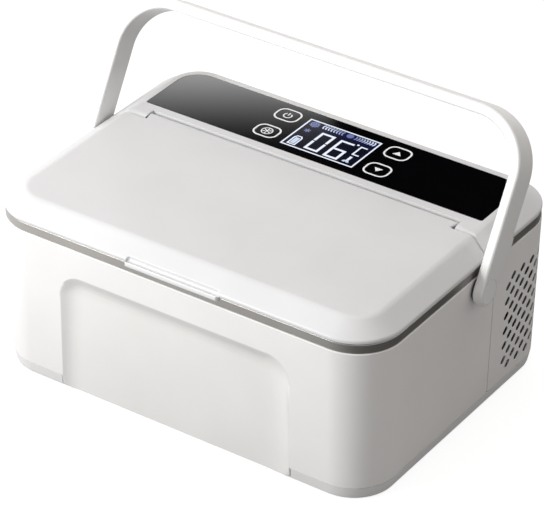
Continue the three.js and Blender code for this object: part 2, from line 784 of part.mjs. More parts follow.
function makeLidFoam() {
  const slab = coverHollow(cover_wall + fit_gap, cover_wall + fit_gap)
    .intersect(infront(lid_hollow_rear - fit_gap))
    .intersect(between(liner_panel_top + fit_gap, cover_top));
  const fill = solid(loftGeometry([
    { z: plug_bottom + plug_wall + fit_gap, points: plugOutline(-plug_draft - plug_wall - fit_gap) },
    { z: liner_panel_top + cut_over, points: plugOutline(-plug_wall - 2 * fit_gap) },
  ]));
  const magnet = alongZ(circle(magnet_radius + fit_gap, 0, magnet_y),
    cover_bottom, liner_panel_top + 2 * fit_gap + magnet_height);
  return cut(join(slab, fill), magnet);
}
addPiece("lid_foam", makeLidFoam(), finishes.foam);

const magnet_seat = liner_panel_top + fit_gap;
const magnet_body = alongZ(circle(magnet_radius, 0, magnet_y, pin_steps), magnet_seat, magnet_seat + magnet_height);
addPiece("lid_magnet", magnet_body, finishes.steel);

function makeSeal() {
  const ring = (grown) => alongZ(
    linerOutline(grown - liner_wall), collar_top + fit_gap - (grown > seal_margin ? 0 : cut_over),
    cover_bottom - fit_gap + (grown > seal_margin ? 0 : cut_over));
  return cut(ring(seal_margin + seal_width), ring(seal_margin));
}
addPiece("lid_seal", makeSeal(), finishes.rubber);

for (const [side, sign] of [["left", -1], ["right", 1]]) {
  const inner = ear_inner - hinge_pin_in_lid;
  const span = [sign * inner, sign * (inner + hinge_pin_length)].sort((a, b) => a - b);
  const pin = alongX(circle(hinge_pin_radius, hinge_y, hinge_z, pin_steps), ...span);
  addPiece(`hinge_pin_${side}`, pin, finishes.steel);
}

// Console: the fixed rear part of the cover, with ears for the hinge and a pocket for the panel
const key_places = [
  { name: "power", x: -key_spread, row: 1 },
  { name: "mode", x: -key_spread, row: -1 },
  { name: "up", x: key_spread, row: 1 },
  { name: "down", x: key_spread, row: -1 },
].map(({ name, x, row }) => ({ name, x, y: panel_middle + key_row_shift + (row * key_row_pitch) / 2 }));

function panelOutline(grown) {
  const x = panel_length / 2 + grown;
  const front = panel_front_radius + grown;
  const rear = panel_rear_radius + grown;
  return roundedOutline(-x, panel_front - grown, x, panel_rear + grown, [front, front, rear, rear]);
}

function keyOutline({ x, y }, grown) {
  const across = key_length / 2 + grown;
  const along = key_depth / 2 + grown;
  return roundedOutline(x - across, y - along, x + across, y + along, key_radius + grown, small_steps);
}

function lcdOutline(grown) {
  const x = lcd_length / 2 + grown;
  const y = lcd_depth / 2 + grown;
  return polygon([-x, panel_middle - y], [x, panel_middle - y], [x, panel_middle + y], [-x, panel_middle + y]);
}

function makeConsole() {
  const outer = coverSolid();
  const middle = alongX([
    ...polygon([case_depth, cover_top + cut_over], [console_front + console_rounding, cover_top + cut_over]),
    ...arc(console_front + console_rounding, cover_top - console_rounding, console_rounding,
      Math.PI / 2, Math.PI, corner_steps),
    ...polygon([console_front, cover_bottom - cut_over], [case_depth, cover_bottom - cut_over]),
  ], -case_length, case_length);
  const [high, low] = parting(0);
  const ear = [
    ...polygon([console_front + wall, cover_top + cut_over], [high[0] + ear_rounding, cover_top + cut_over]),
    ...arc(high[0] + ear_rounding, high[1] - ear_rounding, ear_rounding, Math.PI / 2, Math.PI),
    ...polygon(low, [low[0], cover_bottom - cut_over], [console_front + wall, cover_bottom - cut_over]),
  ];
  const region = join(middle, alongX(ear, ear_inner, case_length), alongX(ear, -case_length, -ear_inner));
  const hollow = coverHollow(wall, cover_top - deck_bottom).intersect(behind(console_front + wall));
  const apron_half = half_length - band_setback - band_width - fit_gap;
  const apron = block(-apron_half, apron_half, console_front, console_front + wall,
    band_bottom - apron_depth, cover_bottom + wall);
  const posts = [-1, 1].flatMap((across) => [-1, 1].map((along) => alongZ(
    circle(board_post_radius, across * (board_length / 2 - board_post_margin),
      panel_middle + along * (board_depth / 2 - board_post_margin), pin_steps),
    board_top + fit_gap, deck_bottom + deck_thickness / 2)));
  const pocket = alongZ(panelOutline(fit_gap), pocket_floor, cover_top + cut_over);
  const window_cut = alongZ(lcdOutline(fit_gap), deck_bottom - cut_over, cover_top);
  const stems = key_places.map(({ x, y }) => alongZ(
    circle(key_stem_radius + fit_gap, x, y, pin_steps), deck_bottom - cut_over, cover_top));
  const pins = [-1, 1].map((sign) => {
    const inner = ear_inner - cut_over;
    const outer_end = ear_inner - hinge_pin_in_lid + hinge_pin_length + fit_gap;
    const span = [sign * inner, sign * outer_end].sort((a, b) => a - b);
    return alongX(circle(hinge_pin_radius + fit_gap, hinge_y, hinge_z, pin_steps), ...span);
  });
  const shell = cut(outer.intersect(region), hollow);
  return cut(join(shell, apron, ...posts), pocket, window_cut, ...stems, ...pins);
}
addPiece("console_cover", makeConsole(), finishes.white_lid);

const panel = cut(alongZ(panelOutline(0), panel_bottom, cover_top),
  ...key_places.map((place) => alongZ(keyOutline(place, fit_gap), panel_bottom - cut_over, cover_top + cut_over)));
addPiece("control_panel", panel, finishes.panel_glass);
addPiece("lcd_module", alongZ(lcdOutline(0), board_top + fit_gap, panel_bottom - fit_gap), finishes.lcd);

const switch_top = board_top + fit_gap + switch_height;
for (const place of key_places) {
  const cap_low = cover_top - key_thickness;
  const cap = alongZ(keyOutline(place, 0), cap_low, cover_top);
  const stem = alongZ(circle(key_stem_radius, place.x, place.y, pin_steps),
    switch_top + key_travel + switch_clearance, cap_low + key_thickness / 2);
  addPiece(`key_${place.name}`, join(cap, stem), finishes.key_face);
  const half = switch_size / 2;
  const body = block(place.x - half, place.x + half, place.y - half, place.y + half,
    board_top + fit_gap, switch_top);
  addPiece(`key_switch_${place.name}`, body, finishes.black_plastic);
}

const board = block(-board_length / 2, board_length / 2, panel_middle - board_depth / 2,
  panel_middle + board_depth / 2, board_bottom, board_top);
addPiece("control_board", board, finishes.board);

// Handle: a flat bail drawn upright round its pivot, then leant back, with a pin and washer a side
const bail = new THREE.Group();
bail.position.set(0, pivot_y, pivot_z);
bail.rotation.x = -THREE.MathUtils.degToRad(handle_lean_degrees);
assembly.add(bail);

const arm_inner = half_length + handle_gap;
const arm_outer = arm_inner + handle_thickness;

function makeHandle() {
  const inner_radius = handle_radius - handle_thickness;
  const below = -handle_width;
  const outer = alongY(roundedOutline(-arm_outer, below, arm_outer, handle_reach,
    [wall, wall, handle_radius, handle_radius]), -handle_width / 2, handle_width / 2);
  const inner = alongY(roundedOutline(-arm_inner, below - cut_over, arm_inner, handle_reach - handle_bar_thickness,
    [wall, wall, inner_radius, inner_radius]), -handle_width, handle_width);
  const side = alongX([
    ...arc(0, 0, handle_width / 2, Math.PI, 2 * Math.PI, corner_steps),
    ...polygon([handle_width / 2, handle_reach + cut_over], [-handle_width / 2, handle_reach + cut_over]),
  ], -case_length, case_length);
  const hole_end = arm_inner + pin_in_arm + fit_gap;
  const holes = alongX(circle(pin_radius + fit_gap), -hole_end, hole_end);
  return cut(cut(outer, inner).intersect(side), holes);
}
addPiece("handle", makeHandle(), finishes.white_handle, bail);

const pivot_inset = insetAt(pivot_z);
const wall_outer = half_length - pivot_inset;
const wall_inner = wall_outer - wall - fit_gap;
for (const [side, sign] of [["left", -1], ["right", 1]]) {
  const spanOf = (from, to) => [sign * from, sign * to].sort((a, b) => a - b);
  const head = alongX(circle(pin_head_radius), ...spanOf(wall_inner - pin_head_thickness, wall_inner));
  const shaft = alongX(circle(pin_radius), ...spanOf(wall_inner - pin_head_thickness / 2, arm_inner + pin_in_arm));
  addPiece(`handle_pin_${side}`, join(head, shaft), finishes.steel, bail);
  const washer = cut(
    alongX(circle(washer_radius, pivot_y, pivot_z), ...spanOf(wall_outer + fit_gap, arm_inner - fit_gap)),
    alongX(circle(pin_radius + fit_gap, pivot_y, pivot_z), ...spanOf(wall_outer - cut_over, arm_inner + cut_over)));
  addPiece(`handle_washer_${side}`, washer, finishes.black_plastic);
}

// Thermoelectric cooler: block, module and finned sink behind the bulkhead
const half_cooler = cooler_size / 2;
const cold_block = block(-half_cooler, half_cooler, cold_side_y, cold_block_rear, cooler_low, cooler_high);
addPiece("cold_block", cold_block, finishes.heat_sink);
const peltier = block(-half_cooler, half_cooler, peltier_y, peltier_y + peltier_thickness, cooler_low, cooler_high);
addPiece("peltier_module", peltier, finishes.ceramic);

function makeSink() {
  const half = sink_length / 2;
  const fin_half = half - fin_end_margin;
  const base = block(-half, half, sink_front, sink_front + sink_base, sink_low, sink_high);
  const fins = [];
  for (let z = sink_low; z + fin_thickness <= sink_high; z += fin_pitch)
    fins.push(block(-fin_half, fin_half, sink_front + sink_base / 2, sink_front + sink_depth, z, z + fin_thickness));
  const holes = [-standoff_x, standoff_x].map((x) => alongY(
    circle(screw_radius + fit_gap, x, cooler_height, pin_steps), seam_y, sink_front + sink_depth));
  return cut(join(base, ...fins), ...holes);
}
addPiece("heat_sink", makeSink(), finishes.heat_sink);

for (const [side, sign] of [["left", -1], ["right", 1]]) {
  const seat = sink_front + sink_base + fit_gap;
  const mesh = addPiece(`sink_screw_${side}`, screw(seat - pilot_front - fit_gap), finishes.steel);
  mesh.position.set(sign * standoff_x, seat, cooler_height);
  mesh.rotation.x = Math.PI / 2;
}

// Fan: a square frame with a motor base on struts, and a bladed rotor
function makeFanFrame() {
  const half = fan_size / 2;
  const square = alongX(roundedOutline(
    fan_y - half, fan_z - half, fan_y + half, fan_z + half, fan_corner_radius, small_steps), fan_left, fan_right);
  const bore = alongX(circle(fan_bore / 2, fan_y, fan_z), fan_left - cut_over, fan_right + cut_over);
  const base_left = fan_right - fan_base_thickness;
  const base = alongX(circle(fan_base_radius, fan_y, fan_z), base_left, fan_right);
  const reach = fan_bore / 2 + cut_over;
  const strut = fan_strut_width / 2;
  const struts = join(
    block(base_left, fan_right, fan_y - reach, fan_y + reach, fan_z - strut, fan_z + strut),
    block(base_left, fan_right, fan_y - strut, fan_y + strut, fan_z - reach, fan_z + reach));
  return join(cut(square, bore), base, struts);
}
addPiece("fan_frame", makeFanFrame(), finishes.black_plastic);

function makeRotor() {
  const rotor_left = fan_left + rotor_clearance;
  const rotor_right = fan_right - fan_base_thickness - fit_gap;
  const depth = rotor_right - rotor_left;
  const middle = (rotor_left + rotor_right) / 2;
  const tip = fan_bore / 2 - rotor_clearance;
  const hub = alongX(circle(rotor_hub_radius, fan_y, fan_z), rotor_left, rotor_right);
  const pitch = THREE.MathUtils.degToRad(blade_pitch_degrees);
  const chord = (depth - blade_thickness) / Math.cos(pitch);
  const blades = [];
  for (let i = 0; i < blade_count; i++) {
    const root = rotor_hub_radius - blade_root;
    const blade = new THREE.BoxGeometry(chord, blade_thickness, tip - root)
      .rotateZ(pitch)
      .translate(0, 0, (tip + root) / 2)
      .rotateX((2 * Math.PI * i) / blade_count)
      .translate(middle, fan_y, fan_z);
    blades.push(solid(blade));
  }
  const sweep = alongX(circle(tip, fan_y, fan_z), rotor_left, rotor_right);
  return join(hub, ...blades).intersect(sweep);
}
addPiece("fan_rotor", makeRotor(), finishes.black_plastic);

// Battery holder with two cells side by side
const cell_left = holder_left + holder_wall + fit_gap;
const cell_right = cell_left + cell_length;

function makeHolder() {
  const right = cell_right + fit_gap + holder_wall;
  const top = holder_floor + holder_wall_height;
  const outer = block(holder_left, right, holder_front_y, holder_rear_y, holder_floor, top);
  const hollow = block(holder_left + holder_wall, right - holder_wall,
    holder_front_y + holder_wall, holder_rear_y - holder_wall, holder_floor + holder_wall, top + cut_over);
  return cut(outer, hollow);
}
addPiece("battery_holder", makeHolder(), finishes.black_plastic);
for (const [name, y] of [["front", rear_cell_y - cell_pitch], ["rear", rear_cell_y]])
  addPiece(`battery_cell_${name}`, alongX(circle(cell_radius, y, cell_z), cell_left, cell_right), finishes.cell_wrap);

// Power board with its socket, and the rubber cover over the port
const power_board = block(power_left, power_right, power_front_y, power_rear_y, power_bottom, power_top);
addPiece("power_board", power_board, finishes.board);

const port_wall_y = half_depth - insetAt(port_z);

function makeSocket() {
  const body = block(port_x - socket_width / 2, port_x + socket_width / 2, power_rear_y - socket_depth, power_rear_y,
    socket_low, socket_low + socket_height);
  return cut(body, alongY(circle(socket_bore_radius, port_x, port_z), power_rear_y - socket_bore_depth, case_depth));
}
addPiece("dc_socket", makeSocket(), finishes.black_plastic);

const flap = alongY(roundedOutline(
  port_x - cover_length / 2, port_z - cover_height / 2, port_x + cover_length / 2, port_z + cover_height / 2,
  cover_radius, small_steps), half_depth - insetAt(port_z + cover_height / 2) + fit_gap, half_depth + cover_proud);
const flap_plug = alongY(circle(cover_plug_radius, port_x, port_z), port_wall_y - wall, half_depth + cover_proud / 2);
addPiece("port_cover", join(flap, flap_plug), finishes.rubber);

export default assembly;
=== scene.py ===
# %% [markdown]
# A portable cooling case for insulin, dressed for a studio picture. The CAD model gives every solid its
# size and place. Blender adds what a plain solid lacks: rounded edges, printed marks, a lit display,
# moulded plastic, glass, foam and metal. Lengths are written in millimetres, as on a drawing, and
# become metres when a piece is finished.

# %% Load the frame
import json
import math

import bmesh
import bpy
from mathutils import Matrix, Vector


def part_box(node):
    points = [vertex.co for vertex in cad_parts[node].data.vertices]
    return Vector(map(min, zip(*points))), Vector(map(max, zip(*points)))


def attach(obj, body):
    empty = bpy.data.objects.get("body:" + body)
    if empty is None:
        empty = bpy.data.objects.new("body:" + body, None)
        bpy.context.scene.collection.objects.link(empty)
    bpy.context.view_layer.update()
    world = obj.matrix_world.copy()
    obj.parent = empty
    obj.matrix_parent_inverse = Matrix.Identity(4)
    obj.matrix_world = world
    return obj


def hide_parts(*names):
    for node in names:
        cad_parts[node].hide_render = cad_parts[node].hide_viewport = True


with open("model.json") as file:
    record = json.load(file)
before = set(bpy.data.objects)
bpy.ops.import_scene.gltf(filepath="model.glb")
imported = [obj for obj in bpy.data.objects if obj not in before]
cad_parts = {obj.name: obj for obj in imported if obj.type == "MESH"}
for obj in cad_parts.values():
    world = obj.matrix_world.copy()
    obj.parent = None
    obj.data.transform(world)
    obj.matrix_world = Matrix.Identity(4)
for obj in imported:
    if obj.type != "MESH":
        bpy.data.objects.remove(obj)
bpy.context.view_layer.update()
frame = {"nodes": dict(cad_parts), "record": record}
nodes = frame["nodes"]
MM = 0.001

# %% [markdown]
# The camera comes first, because everything after it is judged through it. A long lens from the front
# right keeps the case's edges almost parallel, as a product photographer likes them. The place was
# found by matching the corners of the case in the photograph to the corners of the CAD model.

# %% Camera
AZIMUTH = math.radians(34.06)
ELEVATION = math.radians(32.57)
ROLL = math.radians(0.52)
CASE_LENGTH = 0.24
LENS_PIXELS = 3258.38
PICTURE_WIDTH = 544
AIM_RIGHT, AIM_UP, DISTANCE = -0.0005, 0.2261, 7.281

back = Vector((math.sin(AZIMUTH) * math.cos(ELEVATION), -math.cos(AZIMUTH) * math.cos(ELEVATION),
               math.sin(ELEVATION)))
level_right = Vector((math.cos(AZIMUTH), math.sin(AZIMUTH), 0))
level_up = back.cross(level_right)
right = math.cos(ROLL) * level_right + math.sin(ROLL) * level_up
up = math.cos(ROLL) * level_up - math.sin(ROLL) * level_right
eye = CASE_LENGTH * (AIM_RIGHT * right + AIM_UP * up + DISTANCE * back)

camera_data = bpy.data.cameras.new("camera")
camera_data.sensor_fit = "HORIZONTAL"
camera_data.sensor_width = 36
camera_data.lens = LENS_PIXELS * camera_data.sensor_width / PICTURE_WIDTH
camera = bpy.data.objects.new("camera", camera_data)
camera.matrix_world = Matrix.Translation(eye) @ Matrix((right, up, back)).transposed().to_4x4()
bpy.context.scene.collection.objects.link(camera)
bpy.context.scene.camera = camera
bpy.context.scene.view_settings.view_transform = "Standard"
print("camera is", round(eye.length, 3), "m away with a", round(camera_data.lens, 1), "mm lens")

# %% [markdown]
# A material is a small net of nodes, and a few helpers save most of the typing. One adds a node and
# fills its inputs. The others stand for the steps that come again and again: the place on the piece, a
# measure moved to another span, a sum, a tone between two tones, and a bump. A number that stays the
# same all over a surface is written on the shader itself, and only what changes over the surface comes
# in by a wire.

# %% Node helpers
def fill(tree, node, values):
    """Fills a node's inputs, by name or number, with values or with the outputs of other nodes."""
    for key, value in values.items():
        if isinstance(value, bpy.types.NodeSocket):
            tree.links.new(value, node.inputs[key])
        else:
            node.inputs[key].default_value = value
    return node


def add(tree, kind, values=None, **settings):
    """Adds a shader node with its settings and its input values."""
    node = tree.nodes.new(kind)
    for key, value in settings.items():
        setattr(node, key, value)
    return fill(tree, node, values or {})


def place_on(tree):
    """Where a point is on its piece, in metres."""
    return add(tree, "ShaderNodeTexCoord").outputs["Object"]


def place_along(tree, axis):
    return add(tree, "ShaderNodeSeparateXYZ", {0: place_on(tree)}).outputs[axis]


def mapped(tree, value, low, high, start=0.0, end=1.0, **settings):
    """A measure that goes from start to end while the value goes from low to high."""
    span = {"Value": value, "From Min": low, "From Max": high, "To Min": start, "To Max": end}
    return add(tree, "ShaderNodeMapRange", span, **settings).outputs[0]


def sums(tree, operation, *values):
    """One step of arithmetic on one, two or three measures."""
    return add(tree, "ShaderNodeMath", dict(enumerate(values)), operation=operation).outputs[0]


def blend(tree, share, tone, other):
    """A tone that turns into another one as the share rises."""
    return add(tree, "ShaderNodeMix", {"Factor": share, 6: tone, 7: other}, data_type="RGBA").outputs[2]


def relief(tree, height, strength, depth, **settings):
    """A bump made from a height, with a depth in millimetres."""
    values = {"Height": height, "Strength": strength, "Distance": depth * MM}
    return add(tree, "ShaderNodeBump", values, **settings).outputs[0]


def colour(red, green, blue):
    """A colour given as 0 to 255 screen values, as Blender's linear numbers."""
    channels = [c / 255 for c in (red, green, blue)]
    return [c / 12.92 if c <= 0.04045 else ((c + 0.055) / 1.055) ** 2.4 for c in channels] + [1]


def deeper(tone, share):
    """A tone darkened to a share of itself."""
    return [c * share for c in tone[:3]] + [1]


# %% [markdown]
# Nearly every plastic here was moulded in a tool with a faint spark eroded texture, and no moulded
# part is perfectly even. One node group makes both: a fine grain for the bump and a slow mottle for
# colour and roughness. It is built once and each material places it with its own sizes. Both stay in
# the middle of their range most of the time, so the mottle's middle part is what a material spreads
# over its tones.

# %% Moulded grain group
MOTTLE_SPAN = (0.3, 0.7)


def grain_group():
    group = bpy.data.node_groups.new("moulded_grain", "ShaderNodeTree")
    for name, way, default in (("Grain size", "INPUT", 0.5), ("Mottle size", "INPUT", 40.0),
                               ("Grain", "OUTPUT", 0.0), ("Mottle", "OUTPUT", 0.0)):
        socket = group.interface.new_socket(name, in_out=way, socket_type="NodeSocketFloat")
        socket.default_value = default
    start, end, place = add(group, "NodeGroupInput"), add(group, "NodeGroupOutput"), place_on(group)
    for name, detail, roughness in (("Grain", 3.0, 0.6), ("Mottle", 4.0, 0.55)):
        scale = sums(group, "DIVIDE", 1 / MM, start.outputs[f"{name} size"])
        noise = {"Vector": place, "Scale": scale, "Detail": detail, "Roughness": roughness}
        fill(group, end, {name: add(group, "ShaderNodeTexNoise", noise).outputs["Fac"]})
    return group


GRAIN = grain_group()


def new_material(name):
    """A material with only its shader, ready to be wired."""
    material = bpy.data.materials.new(name)
    material.use_nodes = True
    tree = material.node_tree
    tree.nodes.clear()
    shader = add(tree, "ShaderNodeBsdfPrincipled")
    add(tree, "ShaderNodeOutputMaterial", {"Surface": shader.outputs[0]})
    return material, tree, shader


def moulded(name, tone, roughness, grain=0.6, bump=0.05, mottle=45.0, shade=0.96, spread=0.06, metal=0.0):
    """A moulded finish: a tone that drifts slightly, grain in the bump, and an uneven gloss."""
    material, tree, shader = new_material(name)
    sizes = {"Grain size": grain, "Mottle size": mottle}
    texture = add(tree, "ShaderNodeGroup", sizes, node_tree=GRAIN).outputs
    drift, gloss = texture["Mottle"], (roughness - spread / 2, roughness + spread / 2)
    fill(tree, shader, {
        "Base Color": blend(tree, mapped(tree, drift, *MOTTLE_SPAN), deeper(tone, shade), tone),
        "Roughness": mapped(tree, drift, *MOTTLE_SPAN, *gloss),
        "Normal": relief(tree, texture["Grain"], bump, grain), "Metallic": metal})
    return material


# %% [markdown]
# The inner parts get finishes of their own kind. Drawn and extruded metal shows fine lines along one
# way, which is noise stretched a hundred times. Expanded foam is a crowd of small beads. A circuit
# board has pale tracks and tinned dots under its green varnish, and the shrink film of a cell is glossy
# with soft waves across it.

# %% Metal, foam, board and film
def stretched(tree, along, size, reach=120):
    """Noise drawn out along one axis, with lines of a size in millimetres."""
    scale = [1 / (size * MM)] * 3
    scale["XYZ".index(along)] /= reach
    place = add(tree, "ShaderNodeMapping", {"Vector": place_on(tree), "Scale": scale}).outputs[0]
    return add(tree, "ShaderNodeTexNoise", {"Vector": place, "Scale": 1.0, "Detail": 2.0}).outputs["Fac"]


def spotted(tree, size, feature="F1", loose=1.0):
    """Cells of a size in millimetres, as the distance from their middle or their edge."""
    cells = {"Vector": place_on(tree), "Scale": 1 / (size * MM), "Randomness": loose}
    return add(tree, "ShaderNodeTexVoronoi", cells, feature=feature).outputs["Distance"]


def brushed(name, tone, roughness, along="X", size=0.25, bump=0.12):
    """Metal with fine lines in its tone, gloss and bump, and slow clouds over them."""
    material, tree, shader = new_material(name)
    lines = stretched(tree, along, size)
    cloud = add(tree, "ShaderNodeGroup", {"Mottle size": 14.0}, node_tree=GRAIN).outputs["Mottle"]
    mixed = sums(tree, "MULTIPLY_ADD", cloud, 0.3, sums(tree, "MULTIPLY", lines, 0.7))
    share = mapped(tree, mixed, *MOTTLE_SPAN)
    fill(tree, shader, {"Base Color": blend(tree, share, deeper(tone, 0.82), tone),
                        "Roughness": mapped(tree, share, 0, 1, roughness + 0.08, roughness - 0.06),
                        "Normal": relief(tree, lines, bump, 0.05), "Metallic": 1.0})
    return material


def cellular(name, tone, size, depth, roughness):
    """A foam or a fired grain: round cells in the bump, with darker gaps between them."""
    material, tree, shader = new_material(name)
    middle = spotted(tree, size)
    gap = mapped(tree, middle, 0.35, 0.75)
    fill(tree, shader, {"Base Color": blend(tree, gap, tone, deeper(tone, 0.8)), "Roughness": roughness,
                        "Normal": relief(tree, middle, 0.6, depth, invert=True)})
    return material


def board(name):
    """Green varnish over pale copper tracks, with tinned dots standing proud."""
    material, tree, shader = new_material(name)
    track = mapped(tree, spotted(tree, 5.5, "DISTANCE_TO_EDGE", 0.6), 0.05, 0.07)
    dot = mapped(tree, spotted(tree, 3.2, "F1", 0.3), 0.2, 0.17)
    varnish = blend(tree, track, colour(64, 132, 78), colour(22, 78, 44))
    rise = sums(tree, "MULTIPLY_ADD", track, -0.4, dot)
    fill(tree, shader, {"Base Color": blend(tree, dot, varnish, colour(206, 204, 196)), "Metallic": dot,
                        "Normal": relief(tree, rise, 0.5, 0.08), "Roughness": 0.32})
    return material


def film(name, tone):
    """Shrink film: glossy, with slow waves across it and a deeper tone where it folds."""
    material, tree, shader = new_material(name)
    folds = stretched(tree, "Y", 2.2, 6)
    fill(tree, shader, {"Base Color": blend(tree, folds, deeper(tone, 0.7), tone), "Roughness": 0.2,
                        "Normal": relief(tree, folds, 0.3, 0.3), "Coat Weight": 0.6})
    return material


# %% [markdown]
# The record names a finish for every solid, and here each name gets its material. Walls, lid and handle
# are three whites from three moulds. Walls and handle are a shade apart, and the lid's white, which the
# console shares, is set deeper still as painted shade on the top of the case. The band under the lid is
# a metallic grey, the panel is nearly a black mirror, and the screws' steel is brighter and smoother
# than the drawn liner.
# The recess in the front wall has a coarser grain, and a slightly deeper white that is painted shade.

# %% Finishes by the record's slots
finishes = {
    "case_white": moulded("case_white", colour(240, 239, 238), 0.38),
    # Painted shade: the lid's white, which the console shares, is set deeper than the walls' so the top of
    # the case looks less lit.
    "lid_white": moulded("lid_white", colour(221, 221, 222), 0.36),
    "handle_white": moulded("handle_white", colour(238, 238, 237), 0.32),
    "inner_white": moulded("inner_white", colour(226, 225, 222), 0.5, bump=0.1),
    "band_grey": moulded("band_grey", colour(178, 175, 171), 0.34, 0.35, 0.25, shade=0.86, metal=0.92),
    "panel_black": moulded("panel_black", colour(6, 6, 8), 0.05, bump=0.0, spread=0.02),
    "key_face": moulded("key_face", colour(6, 6, 8), 0.06, bump=0.0, spread=0.02),
    "lcd": moulded("lcd", colour(8, 10, 30), 0.1, bump=0.0, spread=0.02),
    "foam": cellular("foam", colour(246, 244, 236), 2.2, 0.5, 0.85),
    "liner": brushed("liner", colour(206, 208, 210), 0.34, "X"),
    "rubber": moulded("rubber", colour(40, 40, 41), 0.66, 0.35, 0.4, 12.0, 0.8, 0.12),
    "steel": brushed("steel", colour(186, 187, 188), 0.26, "Z", 0.12),
    "heat_sink": brushed("heat_sink", colour(196, 198, 201), 0.36, "Z", 0.35, 0.25),
    "ceramic": cellular("ceramic", colour(240, 239, 234), 0.35, 0.03, 0.45),
    "black_plastic": moulded("black_plastic", colour(30, 30, 32), 0.45, 0.4, 0.3, 10.0, 0.8, 0.14),
    "circuit_board": board("circuit_board"),
    "cell_wrap": film("cell_wrap", colour(48, 108, 160)),
}
# Painted shade: a deeper white for the recess, besides its coarser grain.
recess_grain_painted_shade = moulded("recess_grain_painted_shade", colour(234, 233, 231), 0.42, grain=0.8, bump=0.07)
slot_of = {row["node"]: row["material_slot"] for row in frame["record"]["subparts"]}
print("finishes:", len(finishes))

# %% [markdown]
# Ink is a thin opaque coat, a little rough. The lit marks of the display give off their own light, so
# they keep their tone wherever the lamps stand. The glow of the field and the fade of the arcs follow
# the object's own coordinates, and so stay in place from every side.

# %% Ink and display finishes
ARCS_MIDDLE, ARCS_REACH, ARCS_DIM_SHARE = 0.0045, 0.014, 0.12
GLOW_UP, GLOW_RIGHT = (0.057, 0.066), (-0.018, 0.001)


def alight(name, base, roughness, give_tone):
    """A material that gives off a tone, which a function wires from the object's coordinates."""
    material, tree, shader = new_material(name)
    fill(tree, shader, {"Base Color": [*base, 1], "Roughness": roughness, "Emission Strength": 1.0,
                        "Emission Color": give_tone(tree)})
    return material


def glowing(name, tone, faded=None):
    """A lit mark that flickers by a tenth from point to point, and may dim towards the arcs' middle."""
    def give_tone(tree):
        away = sums(tree, "ABSOLUTE", sums(tree, "SUBTRACT", place_along(tree, "X"), ARCS_MIDDLE))
        share = mapped(tree, away, ARCS_DIM_SHARE * ARCS_REACH, ARCS_REACH)
        fine = add(tree, "ShaderNodeTexNoise", {"Vector": place_on(tree), "Scale": 900.0}).outputs["Fac"]
        lit = {0: blend(tree, share, faded or tone, tone), "Scale": mapped(tree, fine, 0, 1, 0.9, 1.1)}
        return add(tree, "ShaderNodeVectorMath", lit, operation="SCALE").outputs[0]
    return alight(name, (0.01, 0.012, 0.02), 0.25, give_tone)


def field_glow(tree):
    """The dark field: nearly black below, with a soft blue band along the top."""
    top = mapped(tree, place_along(tree, "Y"), *GLOW_UP, interpolation_type="SMOOTHSTEP")
    share = sums(tree, "MULTIPLY", top, mapped(tree, place_along(tree, "X"), *GLOW_RIGHT))
    return blend(tree, share, colour(4, 5, 14), colour(14, 18, 56))


ink = moulded("ink", colour(250, 251, 254), 0.4, bump=0.02)
lit_white = glowing("lit_white", colour(236, 242, 255))
lit_soft = glowing("lit_soft", colour(120, 130, 176))
lit_pale = glowing("lit_pale", colour(196, 214, 238))
lit_arcs = glowing("lit_arcs", colour(215, 226, 250), faded=colour(92, 104, 158))
display_field = alight("display_field", (0.004, 0.005, 0.012), 0.08, field_glow)

# %% [markdown]
# A CAD node arrives as loose flat triangles, and its own mesh is never changed. A stack of modifiers
# joins them, merges flat areas, rounds the edges a little and lets big faces rule the shading.

# %% Dress the CAD nodes
SOFT_EDGE, WELD_REACH, FLAT_ANGLE, EDGE_ANGLE = 0.3, 0.01, math.radians(1), math.radians(30)


def dress(piece, finish):
    """Gives a CAD node its finish and soft edges without touching its mesh."""
    piece.data.materials.clear()
    piece.data.materials.append(finish)
    for face in piece.data.polygons:
        face.use_smooth = True
    piece.modifiers.new("Join", "WELD").merge_threshold = WELD_REACH * MM
    flat = piece.modifiers.new("Flatten", "DECIMATE")
    flat.decimate_type, flat.angle_limit = "DISSOLVE", FLAT_ANGLE
    soft = piece.modifiers.new("Soften", "BEVEL")
    soft.width, soft.segments = SOFT_EDGE * MM, 2
    soft.limit_method, soft.angle_limit = "ANGLE", EDGE_ANGLE
    piece.modifiers.new("Shade", "WEIGHTED_NORMAL").keep_sharp = True


for name, piece in nodes.items():
    dress(piece, finishes[slot_of[name]])
print("dressed", len(nodes), "CAD nodes")

# %% [markdown]
# Most new pieces grow from flat outlines. A few corner points make a face, and a vertex bevel rounds
# each corner by its own radius. Working in millimetres keeps the numbers readable.

# %% Outlines
def outline(*corners, steps=12):
    """A flat face through corners given as (x, y, radius), each rounded by its own bevel."""
    flat = bmesh.new()
    flat.faces.new([flat.verts.new((x, y, 0)) for x, y, radius in corners])
    for x, y, radius in corners:
        if radius:
            corner = min(flat.verts, key=lambda vert: (vert.co - Vector((x, y, 0))).length)
            bmesh.ops.bevel(flat, geom=[corner], offset=radius, offset_type="OFFSET", segments=steps,
                            profile=0.5, affect="VERTICES", material=-1)
    return flat


def plate(x0, x1, y0, y1, radii=(0, 0, 0, 0), steps=12):
    """A flat rectangle with its corners rounded, from the front left round to the rear left."""
    places = zip(((x0, y0), (x1, y0), (x1, y1), (x0, y1)), radii)
    return outline(*[(x, y, radius) for (x, y), radius in places], steps=steps)


# %% [markdown]
# A stack of such faces, bridged rim to rim, becomes a solid. A prism is a stack of two, laid along any
# axis, and rods and blocks are the plainest stock. An extrusion could make a prism too, but only a
# stack can change its outline from level to level, as walls with a draft and rolled rims do.

# %% Stacks, prisms and rods
def pour(shape, whole):
    """Adds a shape to a whole and frees it."""
    carrier = bpy.data.meshes.new("carrier")
    shape.to_mesh(carrier)
    shape.free()
    whole.from_mesh(carrier)
    bpy.data.meshes.remove(carrier)


def gather(*shapes):
    """Puts several shapes into one."""
    whole = bmesh.new()
    for shape in shapes:
        pour(shape, whole)
    return whole


